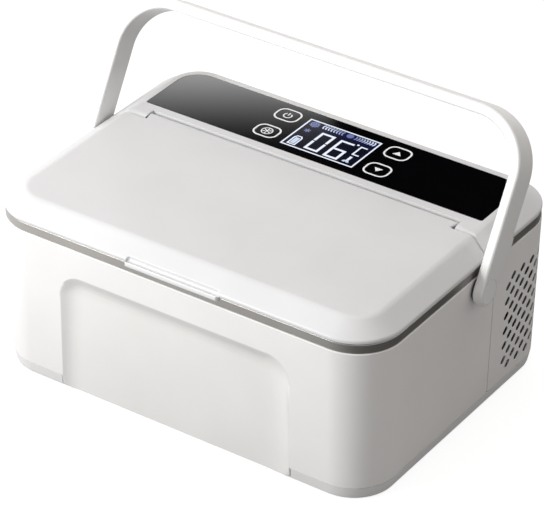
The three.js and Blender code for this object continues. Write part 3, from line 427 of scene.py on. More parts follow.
def outward(shape):
    """Turns every face of a closed shape outwards."""
    shape.normal_update()
    bmesh.ops.recalc_face_normals(shape, faces=shape.faces)
    if shape.calc_volume(signed=True) < 0:
        bmesh.ops.reverse_faces(shape, faces=shape.faces)
    return shape


def stack(*levels):
    """Closes flat faces at rising heights, given as (height, face), into one solid."""
    whole, rims = bmesh.new(), []
    for height, flat in levels:
        bmesh.ops.translate(flat, vec=(0, 0, height), verts=flat.verts)
        pour(flat, whole)
        known = {edge for rim in rims for edge in rim}
        rims.append([edge for edge in whole.edges if edge not in known])
    bmesh.ops.delete(whole, geom=list(whole.faces)[1:-1], context="FACES_ONLY")
    for low, high in zip(rims, rims[1:]):
        bmesh.ops.bridge_loops(whole, edges=low + high)
    return outward(whole)


LAID = {"X": Matrix(((0, 0, 1), (1, 0, 0), (0, 1, 0))).to_4x4(),
        "Y": Matrix(((1, 0, 0), (0, 0, 1), (0, 1, 0))).to_4x4(),
        "Z": Matrix.Identity(4),
        "mirror": Matrix.Diagonal((-1, 1, 1, 1))}


def laid(shape, axis):
    """Swaps the axes of a shape. A swap that mirrors it also turns its faces the right way out."""
    shape.transform(LAID[axis])
    if LAID[axis].determinant() < 0:
        bmesh.ops.reverse_faces(shape, faces=shape.faces)
    shape.normal_update()
    return shape


def prism(flat, low, high, axis="Z"):
    """Gives a flat outline a height along an axis: drawn in Y, Z for X and in X, Z for Y."""
    return laid(stack((low, flat.copy()), (high, flat)), axis)


def rod(radius, low, high, place=(0, 0), axis="Z", steps=32):
    """A round bar along an axis, at a place in the plane across it."""
    bar = bmesh.new()
    bmesh.ops.create_cone(bar, cap_ends=True, segments=steps, radius1=radius, radius2=radius,
                          depth=high - low)
    bmesh.ops.translate(bar, vec=(*place, (low + high) / 2), verts=bar.verts)
    return laid(bar, axis)


def block(x0, x1, y0, y1, z0, z1):
    return prism(plate(x0, x1, y0, y1), z0, z1)


# %% [markdown]
# Cutting, joining and rounding come next. A boolean carves one solid with another, a plane slices a
# solid and closes the cut, and a bevel rounds the edges that a test picks out. The bevel sees only
# edges that turn more sharply than a given angle, so curved walls keep their shape.

# %% Carving helpers
MERGE_REACH, FLAT_TURN = 0.001, math.radians(0.3)


def combine(base, tool, operation="DIFFERENCE"):
    """Carves a solid with another one: DIFFERENCE, UNION or INTERSECT."""
    workers = []
    for shape in (base, tool):
        mesh = bpy.data.meshes.new("worker")
        shape.to_mesh(mesh)
        shape.free()
        workers.append(bpy.data.objects.new("worker", mesh))
        bpy.context.scene.collection.objects.link(workers[-1])
    carve = workers[0].modifiers.new("Carve", "BOOLEAN")
    carve.operation, carve.solver, carve.object = operation, "EXACT", workers[1]
    ready = workers[0].evaluated_get(bpy.context.evaluated_depsgraph_get())
    result = bmesh.new()
    result.from_mesh(ready.to_mesh())
    ready.to_mesh_clear()
    for worker in workers:
        mesh = worker.data
        bpy.data.objects.remove(worker)
        bpy.data.meshes.remove(mesh)
    bmesh.ops.remove_doubles(result, verts=result.verts, dist=MERGE_REACH)
    bmesh.ops.dissolve_limit(result, angle_limit=FLAT_TURN, verts=result.verts, edges=result.edges)
    return result


def carve_all(base, *steps):
    """Carves a solid with one tool after another, each given alone or with its operation."""
    for step in steps:
        base = combine(base, *step) if isinstance(step, tuple) else combine(base, step)
    return base


def sliced(shape, point, normal):
    """Cuts away what lies on the normal's side of a plane and closes the cut."""
    parts = list(shape.verts) + list(shape.edges) + list(shape.faces)
    cut = bmesh.ops.bisect_plane(shape, geom=parts, plane_co=point, plane_no=normal, clear_outer=True)
    rim = [item for item in cut["geom_cut"] if isinstance(item, bmesh.types.BMEdge)]
    bmesh.ops.edgenet_fill(shape, edges=rim)
    return outward(shape)


def soften(shape, width, chosen=lambda point: True, sharpest=120, bluntest=60, steps=3):
    """Rounds the edges whose middle passes the test and whose faces turn between the two angles."""
    edges = [edge for edge in shape.edges if len(edge.link_faces) == 2
             and math.radians(bluntest) < edge.calc_face_angle(0) < math.radians(sharpest)
             and chosen((edge.verts[0].co + edge.verts[1].co) / 2)]
    bmesh.ops.bevel(shape, geom=edges, offset=width, offset_type="OFFSET", segments=steps, profile=0.5,
                    affect="EDGES", clamp_overlap=False, material=-1)
    return shape


# %% [markdown]
# Every new piece ends in the same way. It is scaled to metres and shaded smooth up to a sharp angle,
# gets its finish, rides on the body that moves it, and stands for the CAD solids whose place it takes.

# %% Finish a piece
SHARP_TURN, DOUBLES_REACH = math.radians(32), 0.0005


def finished(name, shape, body, slot_name, stands_for=(), finish=None):
    """Turns a shape in millimetres into a piece in metres that rides on its body."""
    bmesh.ops.remove_doubles(shape, verts=shape.verts, dist=DOUBLES_REACH)
    bmesh.ops.scale(shape, vec=(MM, MM, MM), verts=shape.verts)
    mesh = bpy.data.meshes.new(name)
    shape.to_mesh(mesh)
    shape.free()
    for face in mesh.polygons:
        face.use_smooth = True
    mesh.set_sharp_from_angle(angle=SHARP_TURN)
    mesh.materials.append(finish or finishes[slot_name])
    piece = bpy.data.objects.new(name, mesh)
    bpy.context.scene.collection.objects.link(piece)
    piece.modifiers.new("Shade", "WEIGHTED_NORMAL").keep_sharp = True
    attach(piece, body)
    if stands_for:
        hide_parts(*stands_for)
    print(name, len(mesh.vertices), "vertices")
    return piece


# %% [markdown]
# The case is one rounded rectangle in plan, drawn in by a different amount at each height. A profile
# lists heights and insets, and its corners are eased with small curves so that light rolls over them.

# %% Case outline
HALF_LENGTH, HALF_DEPTH, CORNER_RADIUS = 120.0, 90.6, 26.2
SIDE_X, ACROSS = 117.0, (-130, 130)
WALL, GAP, PAST = 2.5, 0.3, 1.0
SEAM_Y = 25.5


def case_stack(profile):
    """A solid over the case's outline, from a profile of (height, inset)."""
    levels = []
    for height, inset in profile:
        x, y = HALF_LENGTH - inset, HALF_DEPTH - inset
        levels.append((height, plate(-x, x, -y, y, [CORNER_RADIUS - inset] * 4, 16)))
    return stack(*levels)


def eased(*profile, steps=4):
    """Rounds the inner points of a profile of (height, inset, reach of the curve)."""
    points = [profile[0][:2]]
    for before, (height, inset, reach), after in zip(profile, profile[1:], profile[2:]):
        here = Vector((height, inset))
        into = here + (Vector(before[:2]) - here).normalized() * reach
        out = here + (Vector(after[:2]) - here).normalized() * reach
        for i in range(steps + 1 if reach else 1):
            t = i / steps
            points.append(tuple(into * (1 - t) ** 2 + here * 2 * t * (1 - t) + out * t ** 2))
    return points + [profile[-1][:2]]


# %% [markdown]
# The front tub carries the face that the buyer sees: a tall wall with a shallow arched recess. The
# recess could be modelled with loops in the wall, but carving one tapered arch out of the solid takes
# less work. Its slope starts with a crisp edge, is steepest a few millimetres in and runs out slowly,
# which gives the soft one sided shadow of the photograph. The legs spread a little downwards, and the
# right one slopes more slowly, because it hardly shows.

# %% Recess
TRAY_BOTTOM, TRAY_TOP, TUB_BOTTOM, TUB_TOP, TUB_EDGE = 0.4, 7.4, 7.7, 90.0, 0.4
DRAFT = 1.6 / 80.7
RECESS_HALF, RECESS_TOP, RECESS_RADIUS, LEG_SPREAD, LEGS_END = 73.4, 74.2, 15.5, 7.0, -80.0
RECESS_SLOPE = [(0, 0), (0.9, 0.45), (2.2, 0.95), (3.6, 1.7), (5.2, 2.5), (7, 3.15), (9, 3.58),
                (11.5, 3.83), (14, 3.9)]
RIGHT_LEG, FOOT_OF_LEG = 1.7, -3.3


def inset_at(height):
    """How far the case's wall is drawn in at a height."""
    return max(0.0, DRAFT * (TUB_TOP - height))


def arch(margin):
    """The outline of the recess, grown by a margin. Inside its edge the right leg draws in faster."""
    x, top, radius = RECESS_HALF + margin, RECESS_TOP + margin, RECESS_RADIUS + margin
    right = RECESS_HALF + margin * (RIGHT_LEG if margin < 0 else 1)
    return outline((-x - LEG_SPREAD, LEGS_END, 0), (right + LEG_SPREAD, LEGS_END, 0), (right, top, radius),
                   (-x, top, radius), steps=16)


def recess(grown, behind):
    """A tapered arch that points into the front wall, grown at its sides and moved behind the face."""
    levels = [(-HALF_DEPTH - PAST, arch(grown + PAST))]
    levels += [(behind - HALF_DEPTH + depth, arch(grown - reach)) for reach, depth in RECESS_SLOPE]
    return laid(stack(*levels), "Y")


# %% [markdown]
# The tub itself is the front half of the case's form, hollowed to a thin wall, behind the recess too.
# Between the legs it reaches down in front of the tray as an apron. Its bulkhead stands at the seam, and
# has an opening for the cooler and two bosses for the screws of the heat sink.

# %% Front tub
TRAY_PROFILE = eased((TRAY_BOTTOM, 6.0, 0), (TRAY_BOTTOM, 3.0, 1.2), (TRAY_TOP, inset_at(TRAY_TOP), 0),
                     steps=3)
COOLER_HALF, COOLER_LOW, COOLER_HIGH = 20.3, 34.2, 74.8
BOSS_RADIUS, BOSS_X, BOSS_Z, BOSS_REAR = 3.5, 39, 54.5, 28.0

tub = case_stack([(TUB_BOTTOM, inset_at(TUB_BOTTOM)), (TUB_TOP - TUB_EDGE, 0.008), (TUB_TOP, TUB_EDGE)])
apron = case_stack(TRAY_PROFILE + [(TUB_BOTTOM + PAST, inset_at(TUB_BOTTOM + PAST))])
apron = combine(apron, recess(FOOT_OF_LEG, WALL), "INTERSECT")
tub = sliced(combine(tub, apron, "UNION"), (0, SEAM_Y, 0), (0, 1, 0))
foot_inset = inset_at(TRAY_TOP) + WALL
hollow = case_stack([(0, foot_inset), (TRAY_TOP, foot_inset), (TUB_TOP, WALL), (TUB_TOP + PAST, WALL)])
hollow = combine(sliced(hollow, (0, SEAM_Y - WALL, 0), (0, 1, 0)), recess(WALL, WALL))
opening = block(-COOLER_HALF, COOLER_HALF, SEAM_Y - WALL - PAST, SEAM_Y + PAST, COOLER_LOW, COOLER_HIGH)
bosses = [rod(BOSS_RADIUS, SEAM_Y - 0.1, BOSS_REAR, (x, BOSS_Z), "Y") for x in (-BOSS_X, BOSS_X)]
tub = carve_all(tub, hollow, recess(0, 0), opening, (gather(*bosses), "UNION"))
soften(tub, 0.5, lambda p: p.y > SEAM_Y - 0.1 and abs(p.x) > SIDE_X, steps=2)
front_wall = finished("front_wall", tub, "case", "case_white", ["front_tub"])

# %% [markdown]
# The recess has a coarser grain than the wall, and a slightly deeper white that is painted shade in the
# recess. It is the same piece of plastic, so its faces are picked out by how deep they lie and get a
# second material.

# %% Recess finish and painted shade
RECESS_DEPTHS, FACING_FRONT = (0.15, 4.5), -0.6

# The recess faces get the second material, whose deeper white is painted shade.
front_wall.data.materials.append(recess_grain_painted_shade)
for face in front_wall.data.polygons:
    x, y, z = face.center / MM
    deep = RECESS_DEPTHS[0] < y + HALF_DEPTH - inset_at(z) < RECESS_DEPTHS[1]
    face.material_index = int(deep and abs(x) < RECESS_HALF + LEG_SPREAD and face.normal.y < FACING_FRONT)
print("recess faces", sum(face.material_index for face in front_wall.data.polygons))

# %% [markdown]
# The base tray closes the case from below. It is a shallow pan with a rolled edge, moulded with the
# seats of the four feet and the deep holes of the four screws. It stops with a small gap beside the
# apron, where the tub reaches down to the table.

# %% Base tray
FEET = [(x, y) for x in (-93.8, 93.8) for y in (-64.4, 64.4)]
SCREWS = [(x, y) for x in (-105.1, 105.1) for y in (-75.7, 75.7)]
BOSS, SEAT, SEAT_TOP, HOLE, HOLE_TOP = 5.0, 7.3, 2.2, 3.1, 4.2

pan = case_stack([(TRAY_BOTTOM + WALL, 6.0), (TRAY_TOP + PAST, foot_inset)])
pan = carve_all(case_stack(TRAY_PROFILE), pan,
                (gather(*[rod(BOSS, TRAY_BOTTOM + 0.5, TRAY_TOP, place) for place in SCREWS]), "UNION"),
                gather(*[rod(SEAT, -PAST, SEAT_TOP, place, steps=40) for place in FEET]),
                gather(*[rod(HOLE, -PAST, HOLE_TOP, place) for place in SCREWS]),
                recess(FOOT_OF_LEG + GAP, WALL + GAP))
finished("base_pan", pan, "case", "case_white", ["base_tray"])

# %% [markdown]
# Lid and console share one outer form: a short skirt, a broad slope and a flat top. It is stacked from
# one profile for each, and sliced along the slanted parting line, with a gap between the two.

# %% Cover form
COVER_BOTTOM, COVER_TOP = 95.7, 105.1
COVER_PROFILE = eased((COVER_BOTTOM, 0.5, 0), (COVER_BOTTOM + 0.25, 0.05, 0), (97.55, 0.0, 0.9),
                      (COVER_TOP, 10.9, 2.2), (COVER_TOP, 16.0, 0), steps=6)
LID_REAR_TOP, LID_REAR_BOTTOM, PARTING_GAP = 18.8, 14.7, 0.7


def parting(forward):
    """The slanted parting plane at the ears, as a point and a normal that points back."""
    run = Vector((0, LID_REAR_TOP - LID_REAR_BOTTOM, COVER_TOP - COVER_BOTTOM)).normalized()
    return (0, LID_REAR_TOP - forward, COVER_TOP), (0, run.z, -run.y)


# %% [markdown]
# The lid keeps the front of the form. Behind, it grows a tongue with a round back that holds the hinge
# between the console's two ears, and a small wedge is cut away beside each ear.

# %% Lid shell
HINGE_Y, HINGE_Z, BARREL, EAR_X = 23.4, 101.1, 4.0, 97.5
HINGE_REAR, HINGE_LOW, TONGUE_FRONT, TONGUE_LOW = HINGE_Y + BARREL, HINGE_Z - BARREL, 8, 99.1
LID_WALL, LID_SKIRT_TOP, LID_ROOF, LID_ROOF_INSET = 2.2, 96.9, 102.9, 10.6
NOTCH, NOTCH_FRONT, NOTCH_REAR, NOTCH_FLOOR = 1.6, 19.2, 27, 101.2

lid = sliced(case_stack(COVER_PROFILE), *parting(0))
tongue = outline((TONGUE_FRONT, TONGUE_LOW, 0), (17.5, TONGUE_LOW, 0), (19.4, HINGE_LOW, 0.8),
                 (HINGE_REAR, HINGE_LOW, BARREL), (HINGE_REAR, COVER_TOP, BARREL),
                 (TONGUE_FRONT, COVER_TOP, 0))
inner = case_stack([(COVER_BOTTOM - PAST, LID_WALL), (LID_SKIRT_TOP, LID_WALL), (LID_ROOF, LID_ROOF_INSET)])
lid = carve_all(lid, (prism(tongue, GAP - EAR_X, EAR_X - GAP, "X"), "UNION"),
                sliced(inner, (0, LID_REAR_BOTTOM - LID_WALL, 0), (0, 1, 0)))
for side in (-1, 1):
    ear, edge = side * (EAR_X - 0.1), side * (EAR_X - NOTCH)
    wedge = outline((ear, NOTCH_REAR, 0), (ear, NOTCH_FRONT, 0), (edge, NOTCH_FRONT, 0))
    lid = combine(lid, prism(wedge, NOTCH_FLOOR, COVER_TOP + PAST))
soften(lid, 0.8, lambda p: p.y > 14 and p.z > 97.6, 130, 45)

# %% [markdown]
# In front the lid has a short lip for a finger, with a scoop above it. Both are drawn from the side and
# crossed with rounded plates, which round the lip's ends and front and the scoop's two rear corners.

# %% Finger lip
LIP_HALF, LIP_LOW, LIP_TOP, LIP_FRONT, SCOOP_BACK = 29.25, 93.6, 96.9, -92.7, -88.4
NOSE_BACK, SCOOP_FRONT, SCOOP_HIGH = -85, -96, 110

scoop = prism(outline((SCOOP_FRONT, LIP_TOP + 0.4, 0), (-91.9, LIP_TOP - 0.1, 0.6), (-91.0, 96.0, 0.8),
                      (SCOOP_BACK, 95.6, 2.0), (SCOOP_BACK - 0.5, 99, 0), (SCOOP_BACK - 0.5, SCOOP_HIGH, 0),
                      (SCOOP_FRONT, SCOOP_HIGH, 0), steps=5), -LIP_HALF, LIP_HALF, "X")
scoop_plan = plate(GAP - LIP_HALF, LIP_HALF - GAP, SCOOP_FRONT - PAST, SCOOP_BACK + 0.1,
                   [0, 0, 3.4, 3.4], 10)
scoop = combine(scoop, prism(scoop_plan, 90, SCOOP_HIGH + 2), "INTERSECT")
nose = outline((NOSE_BACK, LIP_LOW, 0), (-91.5, LIP_LOW, 1.0), (-92.8, LIP_LOW + 1.0, 0.9),
               (-92.1, LIP_TOP, 0.6), (NOSE_BACK, LIP_TOP, 0), steps=5)
lip_front = plate(-LIP_HALF, LIP_HALF, LIP_LOW - 0.01, LIP_TOP + 0.01, [1.6] * 4, 8)
lip_plan = plate(-LIP_HALF, LIP_HALF, LIP_FRONT, -80, [3.0, 3.0, 0, 0], 10)
lip = carve_all(prism(nose, -30, 30, "X"), (prism(lip_front, -95, -80, "Y"), "INTERSECT"),
                (prism(lip_plan, 90, 100), "INTERSECT"),
                block(-40, 40, GAP - HALF_DEPTH, -80, 90, COVER_BOTTOM))
lid = carve_all(lid, (lip, "UNION"), scoop)
soften(lid, 0.4, lambda p: SCOOP_BACK - 4 < p.y < SCOOP_BACK + 1 and p.z > LIP_TOP + 0.3
       and abs(p.x) < LIP_HALF + 0.5, bluntest=25)
finished("lid_cover", lid, "lid", "lid_white", ["lid_shell"])

# %% [markdown]
# The console is the other part of the same form. Its front edge is rolled, its ears reach forward
# beside the lid with a roll round the hinge, and a pocket takes the glass panel. Below the pocket are a
# window for the display and four holes for the stems of the keys.

# %% Console shell
CONSOLE_FRONT, CONSOLE_ROLL, EAR_ROLL = 28.0, 4.7, 4.2
PANEL_FRONT, PANEL_REAR, PANEL_HALF, PANEL_BOTTOM = 33.1, 75.9, 106.0, 103.5
PANEL_RADII = [1, 1, 13.6, 13.6]
LCD_MIDDLE, WINDOW_LENGTH, WINDOW_DEPTH, STEM_HOLE = 54.0, 50.6, 34.6, 2.1
KEYS = {"power": (-35.0, 65.0), "mode": (-35.0, 45.0), "up": (35.0, 65.0), "down": (35.0, 45.0)}
PIN_HOLE, PIN_REACH, PIN_STARTS = 1.8, 21.3, (-111.8, 90.5)

point, normal = parting(-PARTING_GAP)
console = sliced(case_stack(COVER_PROFILE), point, [-n for n in normal])
rolled = outline((10.5, 85, 0), (LID_REAR_TOP + PARTING_GAP, COVER_TOP - 0.01, EAR_ROLL),
                 (100, COVER_TOP - 0.01, 0), (100, 85, 0), steps=10)
console = carve_all(console, (prism(rolled, *ACROSS, "X"), "INTERSECT"),
                    block(-EAR_X, EAR_X, 0, CONSOLE_FRONT, 90, 110))
soften(console, CONSOLE_ROLL, lambda p: p.y < CONSOLE_FRONT - 0.2 and p.z > 105 and abs(p.x) < EAR_X - 0.5,
       steps=8)
soften(console, 0.4, lambda p: abs(abs(p.x) - EAR_X) < 0.1 and p.z > 96, steps=2)
inner = case_stack([(COVER_BOTTOM - PAST, WALL), (97.2, WALL), (101.2, 8.2)])
pocket = prism(plate(-PANEL_HALF - GAP, PANEL_HALF + GAP, PANEL_FRONT - GAP, PANEL_REAR + GAP,
                     [radius + GAP for radius in PANEL_RADII]), PANEL_BOTTOM - GAP, COVER_TOP + PAST)
window = block(-WINDOW_LENGTH / 2, WINDOW_LENGTH / 2, LCD_MIDDLE - WINDOW_DEPTH / 2,
               LCD_MIDDLE + WINDOW_DEPTH / 2, 100, 104)
stems = [rod(STEM_HOLE, 100, 104, place) for place in KEYS.values()]
pins = [rod(PIN_HOLE, x, x + PIN_REACH, (HINGE_Y, HINGE_Z), "X") for x in PIN_STARTS]
console = carve_all(console, sliced(inner, (0, CONSOLE_FRONT + WALL, 0), (0, -1, 0)), pocket,
                    gather(window, *stems, *pins))
finished("console", console, "case", "lid_white", ["console_cover"])

# %% [markdown]
# The panel is one sheet of black glass with four openings for the keys. The keys are caps of the same
# glass, each on a short stem that reaches its switch.

# %% Glass panel and keys
KEY_LENGTH, KEY_DEPTH, KEY_RADIUS, KEY_GAP, KEY_UNDER = 12.5, 10, 3.5, 0.2, 103.9
STEM, STEM_END, GLASS_EDGE = 1.8, 101.4, 0.2


def key_plate(x, y, grown=0.0):
    length, depth = KEY_LENGTH / 2 + grown, KEY_DEPTH / 2 + grown
    return plate(x - length, x + length, y - depth, y + depth, [KEY_RADIUS + grown] * 4, 8)


def glass_edges(shape):
    """Rounds the upper edges of a piece of glass a little."""
    return soften(shape, GLASS_EDGE, lambda p: p.z > COVER_TOP - 0.01, steps=2)


glass = prism(plate(-PANEL_HALF, PANEL_HALF, PANEL_FRONT, PANEL_REAR, PANEL_RADII), PANEL_BOTTOM, COVER_TOP)
glass = combine(glass, gather(*[prism(key_plate(*place, KEY_GAP), 100, 110) for place in KEYS.values()]))
finished("glass_panel", glass_edges(glass), "case", "panel_black", ["control_panel"])

for name, place in KEYS.items():
    cap = glass_edges(prism(key_plate(*place, -0.02), KEY_UNDER, COVER_TOP))
    cap = combine(cap, rod(STEM, STEM_END, KEY_UNDER + 0.6, place), "UNION")
    finished(f"key_cap_{name}", cap, f"{name}_key", "key_face", [f"key_{name}"])

# %% [markdown]
# Printed and lit marks are strokes of one width, like those of a sign writer. A stroke follows a path
# of points. At each corner both of its sides are moved out along the mitre, so the width stays even.
# The marks are thin solids that stand a few hundredths of a millimetre proud of the glass.

# %% Stroke helpers
MARK_SINK, MARK_RISE, SHARPEST_MITRE = 0.02, 0.05, 0.3


def stroke(path, width, closed=False):
    """A flat ribbon of one width along a path of (x, y) points, with mitred corners."""
    points = [Vector(point) for point in path]
    count, sides = len(points), ([], [])
    for i, here in enumerate(points):
        before = points[i - 1] if closed or i else None
        after = points[(i + 1) % count] if closed or i < count - 1 else None
        legs = ((before, here), (here, after))
        ways = [(b - a).normalized() for a, b in legs if a is not None and b is not None]
        mean = sum(ways, Vector((0, 0))).normalized()
        reach = width / 2 / max(SHARPEST_MITRE, mean.dot(ways[0]))
        across = Vector((-mean.y, mean.x)) * reach
        sides[0].append(here + across)
        sides[1].append(here - across)
    flat = bmesh.new()
    left, right = ([flat.verts.new((*point, 0)) for point in side] for side in sides)
    for i in range(count if closed else count - 1):
        j = (i + 1) % count
        flat.faces.new((right[i], right[j], left[j], left[i]))
    return flat


def slab(flat):
    """Makes a flat shape of many faces into a thin solid that sits on the glass."""
    bmesh.ops.translate(flat, vec=(0, 0, COVER_TOP - MARK_SINK), verts=flat.verts)
    grown = bmesh.ops.extrude_face_region(flat, geom=list(flat.faces), use_keep_orig=True)
    raised = [item for item in grown["geom"] if isinstance(item, bmesh.types.BMVert)]
    bmesh.ops.translate(flat, vec=(0, 0, MARK_SINK + MARK_RISE), verts=raised)
    return outward(flat)


def arc(x, y, radius, start, end, steps=16, squash=1.0):
    """Points round a centre from one angle to another, in degrees, narrowed in X by a share."""
    turns = [math.radians(start + (end - start) * i / steps) for i in range(steps + 1)]
    return [(x + radius * squash * math.cos(turn), y + radius * math.sin(turn)) for turn in turns]


def disc(x, y, radius, steps=24):
    """A flat round face."""
    flat = bmesh.new()
    bmesh.ops.create_circle(flat, cap_ends=True, segments=steps, radius=radius)
    bmesh.ops.translate(flat, vec=(x, y, 0), verts=flat.verts)
    return flat


def star(x, y, inner, outer, arms, width, twig=0.0):
    """Straight arms round a centre, each with a pair of small twigs if asked."""
    rays, centre = [], Vector((x, y))
    for i in range(arms):
        turn = math.tau * (i + 0.5) / arms
        way = Vector((math.cos(turn), math.sin(turn)))
        rays.append(stroke([centre + way * inner, centre + way * outer], width))
        for turn in (-1, 1) if twig else ():
            side = Matrix.Rotation(turn * math.radians(60), 2) @ way
            root = centre + way * (inner + outer) / 2 + side * width * 0.6
            rays.append(stroke([root, root + side * twig], width))
    return rays


# %% [markdown]
# Each key has a ring and a sign in white ink: a broken circle for power, a fan for the mode, and
# an arrow up and down. The ring is printed on the glass round the key's opening and stays there. The
# sign is on the cap, rides with it, and sinks with it when it is pressed.

# %% Key marks
RING_INNER, RING_OUTER, SIGN_WIDTH, FAN_WIDTH, ARROW_HALF = 0.2, 1.2, 0.75, 0.6, 2.6


def arrow(x, y, way):
    """A solid arrow head that points to the rear for a way of 1 and to the front for -1."""
    side, base, tip = ARROW_HALF * way, y - 1.6 * way, y + 1.9 * way
    return [outline((x - side, base, 0.2), (x + side, base, 0.2), (x, tip, 0.2), steps=2)]


key_signs = {
    "power": lambda x, y: [stroke(arc(x, y - 0.35, 2.3, 125, 415, 22), SIGN_WIDTH),
                           stroke([(x, y), (x, y + 2.6)], SIGN_WIDTH)],
    "mode": lambda x, y: [stroke(arc(x, y, 3.1, 0, 352.5, 47), FAN_WIDTH, closed=True), disc(x, y, 0.8, 16),
                          *star(x, y, 1.1, 2.5, 6, 0.7)],
    "up": lambda x, y: arrow(x, y, 1),
    "down": lambda x, y: arrow(x, y, -1),
}
low, high = COVER_TOP - MARK_SINK, COVER_TOP + MARK_RISE
rings = [combine(prism(key_plate(*place, RING_OUTER), low, high),
                 prism(key_plate(*place, RING_INNER), 100, 110)) for place in KEYS.values()]
finished("key_rings", gather(*rings), "case", "panel_black", finish=ink)
for name, place in KEYS.items():
    sign = gather(*[slab(shape) for shape in key_signs[name](*place)])
    finished(f"key_sign_{name}", sign, f"{name}_key", "key_face", finish=ink)

# %% [markdown]
# The display lies under the same glass and is lit from behind. Its dark field has a blue glow along
# the top. On it stand two seven segment digits, a unit, a stand with a bulb, a battery, two frost signs
# and a row of arcs that fades towards its middle. All of it is drawn in shares of the display's frame.

# %% Display
FRAME_LENGTH, FRAME_DEPTH = 45.5, 30.4
FRAME_LINE, DIGIT_LINE, SMALL_LINE, CELL_LINE, FROST_LINE, BULB_LINE = 0.9, 1.5, 0.95, 0.8, 0.6, 1.6
ARCS, ARC_ROW, ARC_RADIUS, ARC_NARROWING, ARC_LINE = 8, 0.885, 2.1, 0.75, 0.75


def on_display(u, v):
    """A point of the display, given as shares of its frame from the front left corner."""
    return (-FRAME_LENGTH / 2 + FRAME_LENGTH * u, LCD_MIDDLE - FRAME_DEPTH / 2 + FRAME_DEPTH * v)


def path_on(*shares):
    return [on_display(u, v) for u, v in shares]


def display_digit_zero(u0, u1, v0, v1, gap=0.014):
    middle = (v0 + v1) / 2
    return [stroke(path_on((u0, middle + gap), (u0, v1), (u1, v1), (u1, middle + gap)), DIGIT_LINE),
            stroke(path_on((u0, middle - gap), (u0, v0), (u1, v0), (u1, middle - gap)), DIGIT_LINE)]


def display_digit_six(u0, u1, v0, v1, gap=0.02):
    middle = (v0 + v1) / 2
    path = path_on((u1 + 0.01, v1), (u0, v1), (u0, v0), (u1, v0), (u1, middle), (u0 + gap, middle))
    return [stroke(path, DIGIT_LINE)]


def lit_marks(name, finish, *shapes):
    """Makes flat shapes into one lit piece of the display."""
    finished(name, gather(*[slab(shape) for shape in shapes]), "case", "lcd", finish=finish)


(left, front), (right, rear) = on_display(0, 0), on_display(1, 1)
field = prism(plate(left, right, front, rear), COVER_TOP - MARK_SINK, COVER_TOP + 0.01)
finished("display_field", field, "case", "lcd", finish=display_field)

frame_path = path_on((0.01, 0.015), (0.99, 0.015), (0.99, 0.985), (0.01, 0.985))
unit = stroke(path_on((0.93, 0.68), (0.845, 0.68), (0.845, 0.39), (0.93, 0.39)), SMALL_LINE)
stem = stroke(path_on((0.868, 0.17), (0.868, 0.31)), DIGIT_LINE)
cell_path = path_on((0.072, 0.08), (0.168, 0.08), (0.168, 0.32), (0.148, 0.37), (0.092, 0.37), (0.072, 0.32))
lit_marks("display_digits", lit_white, stroke(frame_path, FRAME_LINE, closed=True), unit, stem,
          stroke(cell_path, CELL_LINE, closed=True), disc(*on_display(0.79, 0.705), 0.72, 16),
          *display_digit_zero(0.305, 0.465, 0.115, 0.685), *display_digit_six(0.578, 0.742, 0.095, 0.665))

(left, front), (right, rear) = on_display(0.09, 0.11), on_display(0.15, 0.32)
bulb = stroke(arc(*on_display(0.862, 0.1), 1.3, 0, 180, 10), BULB_LINE)
lit_marks("display_signs", lit_pale, plate(left, right, front, rear), bulb)
lit_marks("display_frost", lit_soft, *star(*on_display(0.112, 0.865), 0.2, 3.0, 6, FROST_LINE, 1.1),
          *star(*on_display(0.113, 0.62), 0.2, 1.9, 6, FROST_LINE))

arcs = [disc(*on_display(0.60, ARC_ROW), ARC_RADIUS)]
for i in range(ARCS):
    for first, pitch, turns in ((0.262, 0.038, (120, 240)), (0.655, 0.036, (60, -60))):
        x, y = on_display(first + pitch * i, ARC_ROW)
        arcs.append(stroke(arc(x, y, ARC_RADIUS, *turns, 6, ARC_NARROWING), ARC_LINE))
lit_marks("display_arcs", lit_arcs, *arcs)

# %% [markdown]
# Warm air leaves the rear of the case through a field of slanted slots in each side. They are laid out
# as a lattice that shifts by half a pitch from row to row. Each cutter flares at its mouth, which
# leaves a small soft rim round every slot.

# %% Vent slots
SLOT_LENGTH, SLOT_WIDTH, SLOT_TILT, SLOT_ROUNDNESS, RIM = 4.9, 3.5, math.radians(40), 0.75, 0.2
SLOT_PITCH_Y, SLOT_PITCH_Z, SLOT_ROWS = 9.3, 4.65, 13
FIRST_SLOT, LAST_SLOT = (40.9, 70.6), HALF_DEPTH - 16


def slot_plate(y, z, grown):
    radius, half = SLOT_WIDTH / 2 + grown, SLOT_LENGTH / 2 + grown
    flat = plate(-half, half, -radius, radius, [radius * SLOT_ROUNDNESS] * 4, 3)
    bmesh.ops.rotate(flat, cent=(0, 0, 0), matrix=Matrix.Rotation(SLOT_TILT, 3, "Z"), verts=flat.verts)
    bmesh.ops.translate(flat, vec=(y, z, 0), verts=flat.verts)
    return flat


def slot_places():
    for row in range(SLOT_ROWS):
        z = FIRST_SLOT[1] - row * SLOT_PITCH_Z
        y = FIRST_SLOT[0] + (0 if row % 2 else SLOT_PITCH_Y / 2)
        while y < LAST_SLOT:
            yield y, z
            y += SLOT_PITCH_Y


def slot_cutter(side):
    cutters = []
    for y, z in slot_places():
        face = HALF_LENGTH - inset_at(z)
        levels = [(face - WALL - PAST, 0.0), (face - RIM, 0.0), (face + 0.05, RIM), (face + PAST, RIM)]
        cutters.append(stack(*[(height, slot_plate(y, z, grown)) for height, grown in levels]))
    cutter = laid(gather(*cutters), "X")
    return cutter if side > 0 else laid(cutter, "mirror")


print("slots on each side:", len(list(slot_places())))

# %% [markdown]
# The rear housing is the same wall behind the seam. In front it rises as a slanted pillar between the
# two bands, and its rear face has a round hole for the power plug. The wall is thinned from inside
# behind the slots, so that they look dark from the side as well.

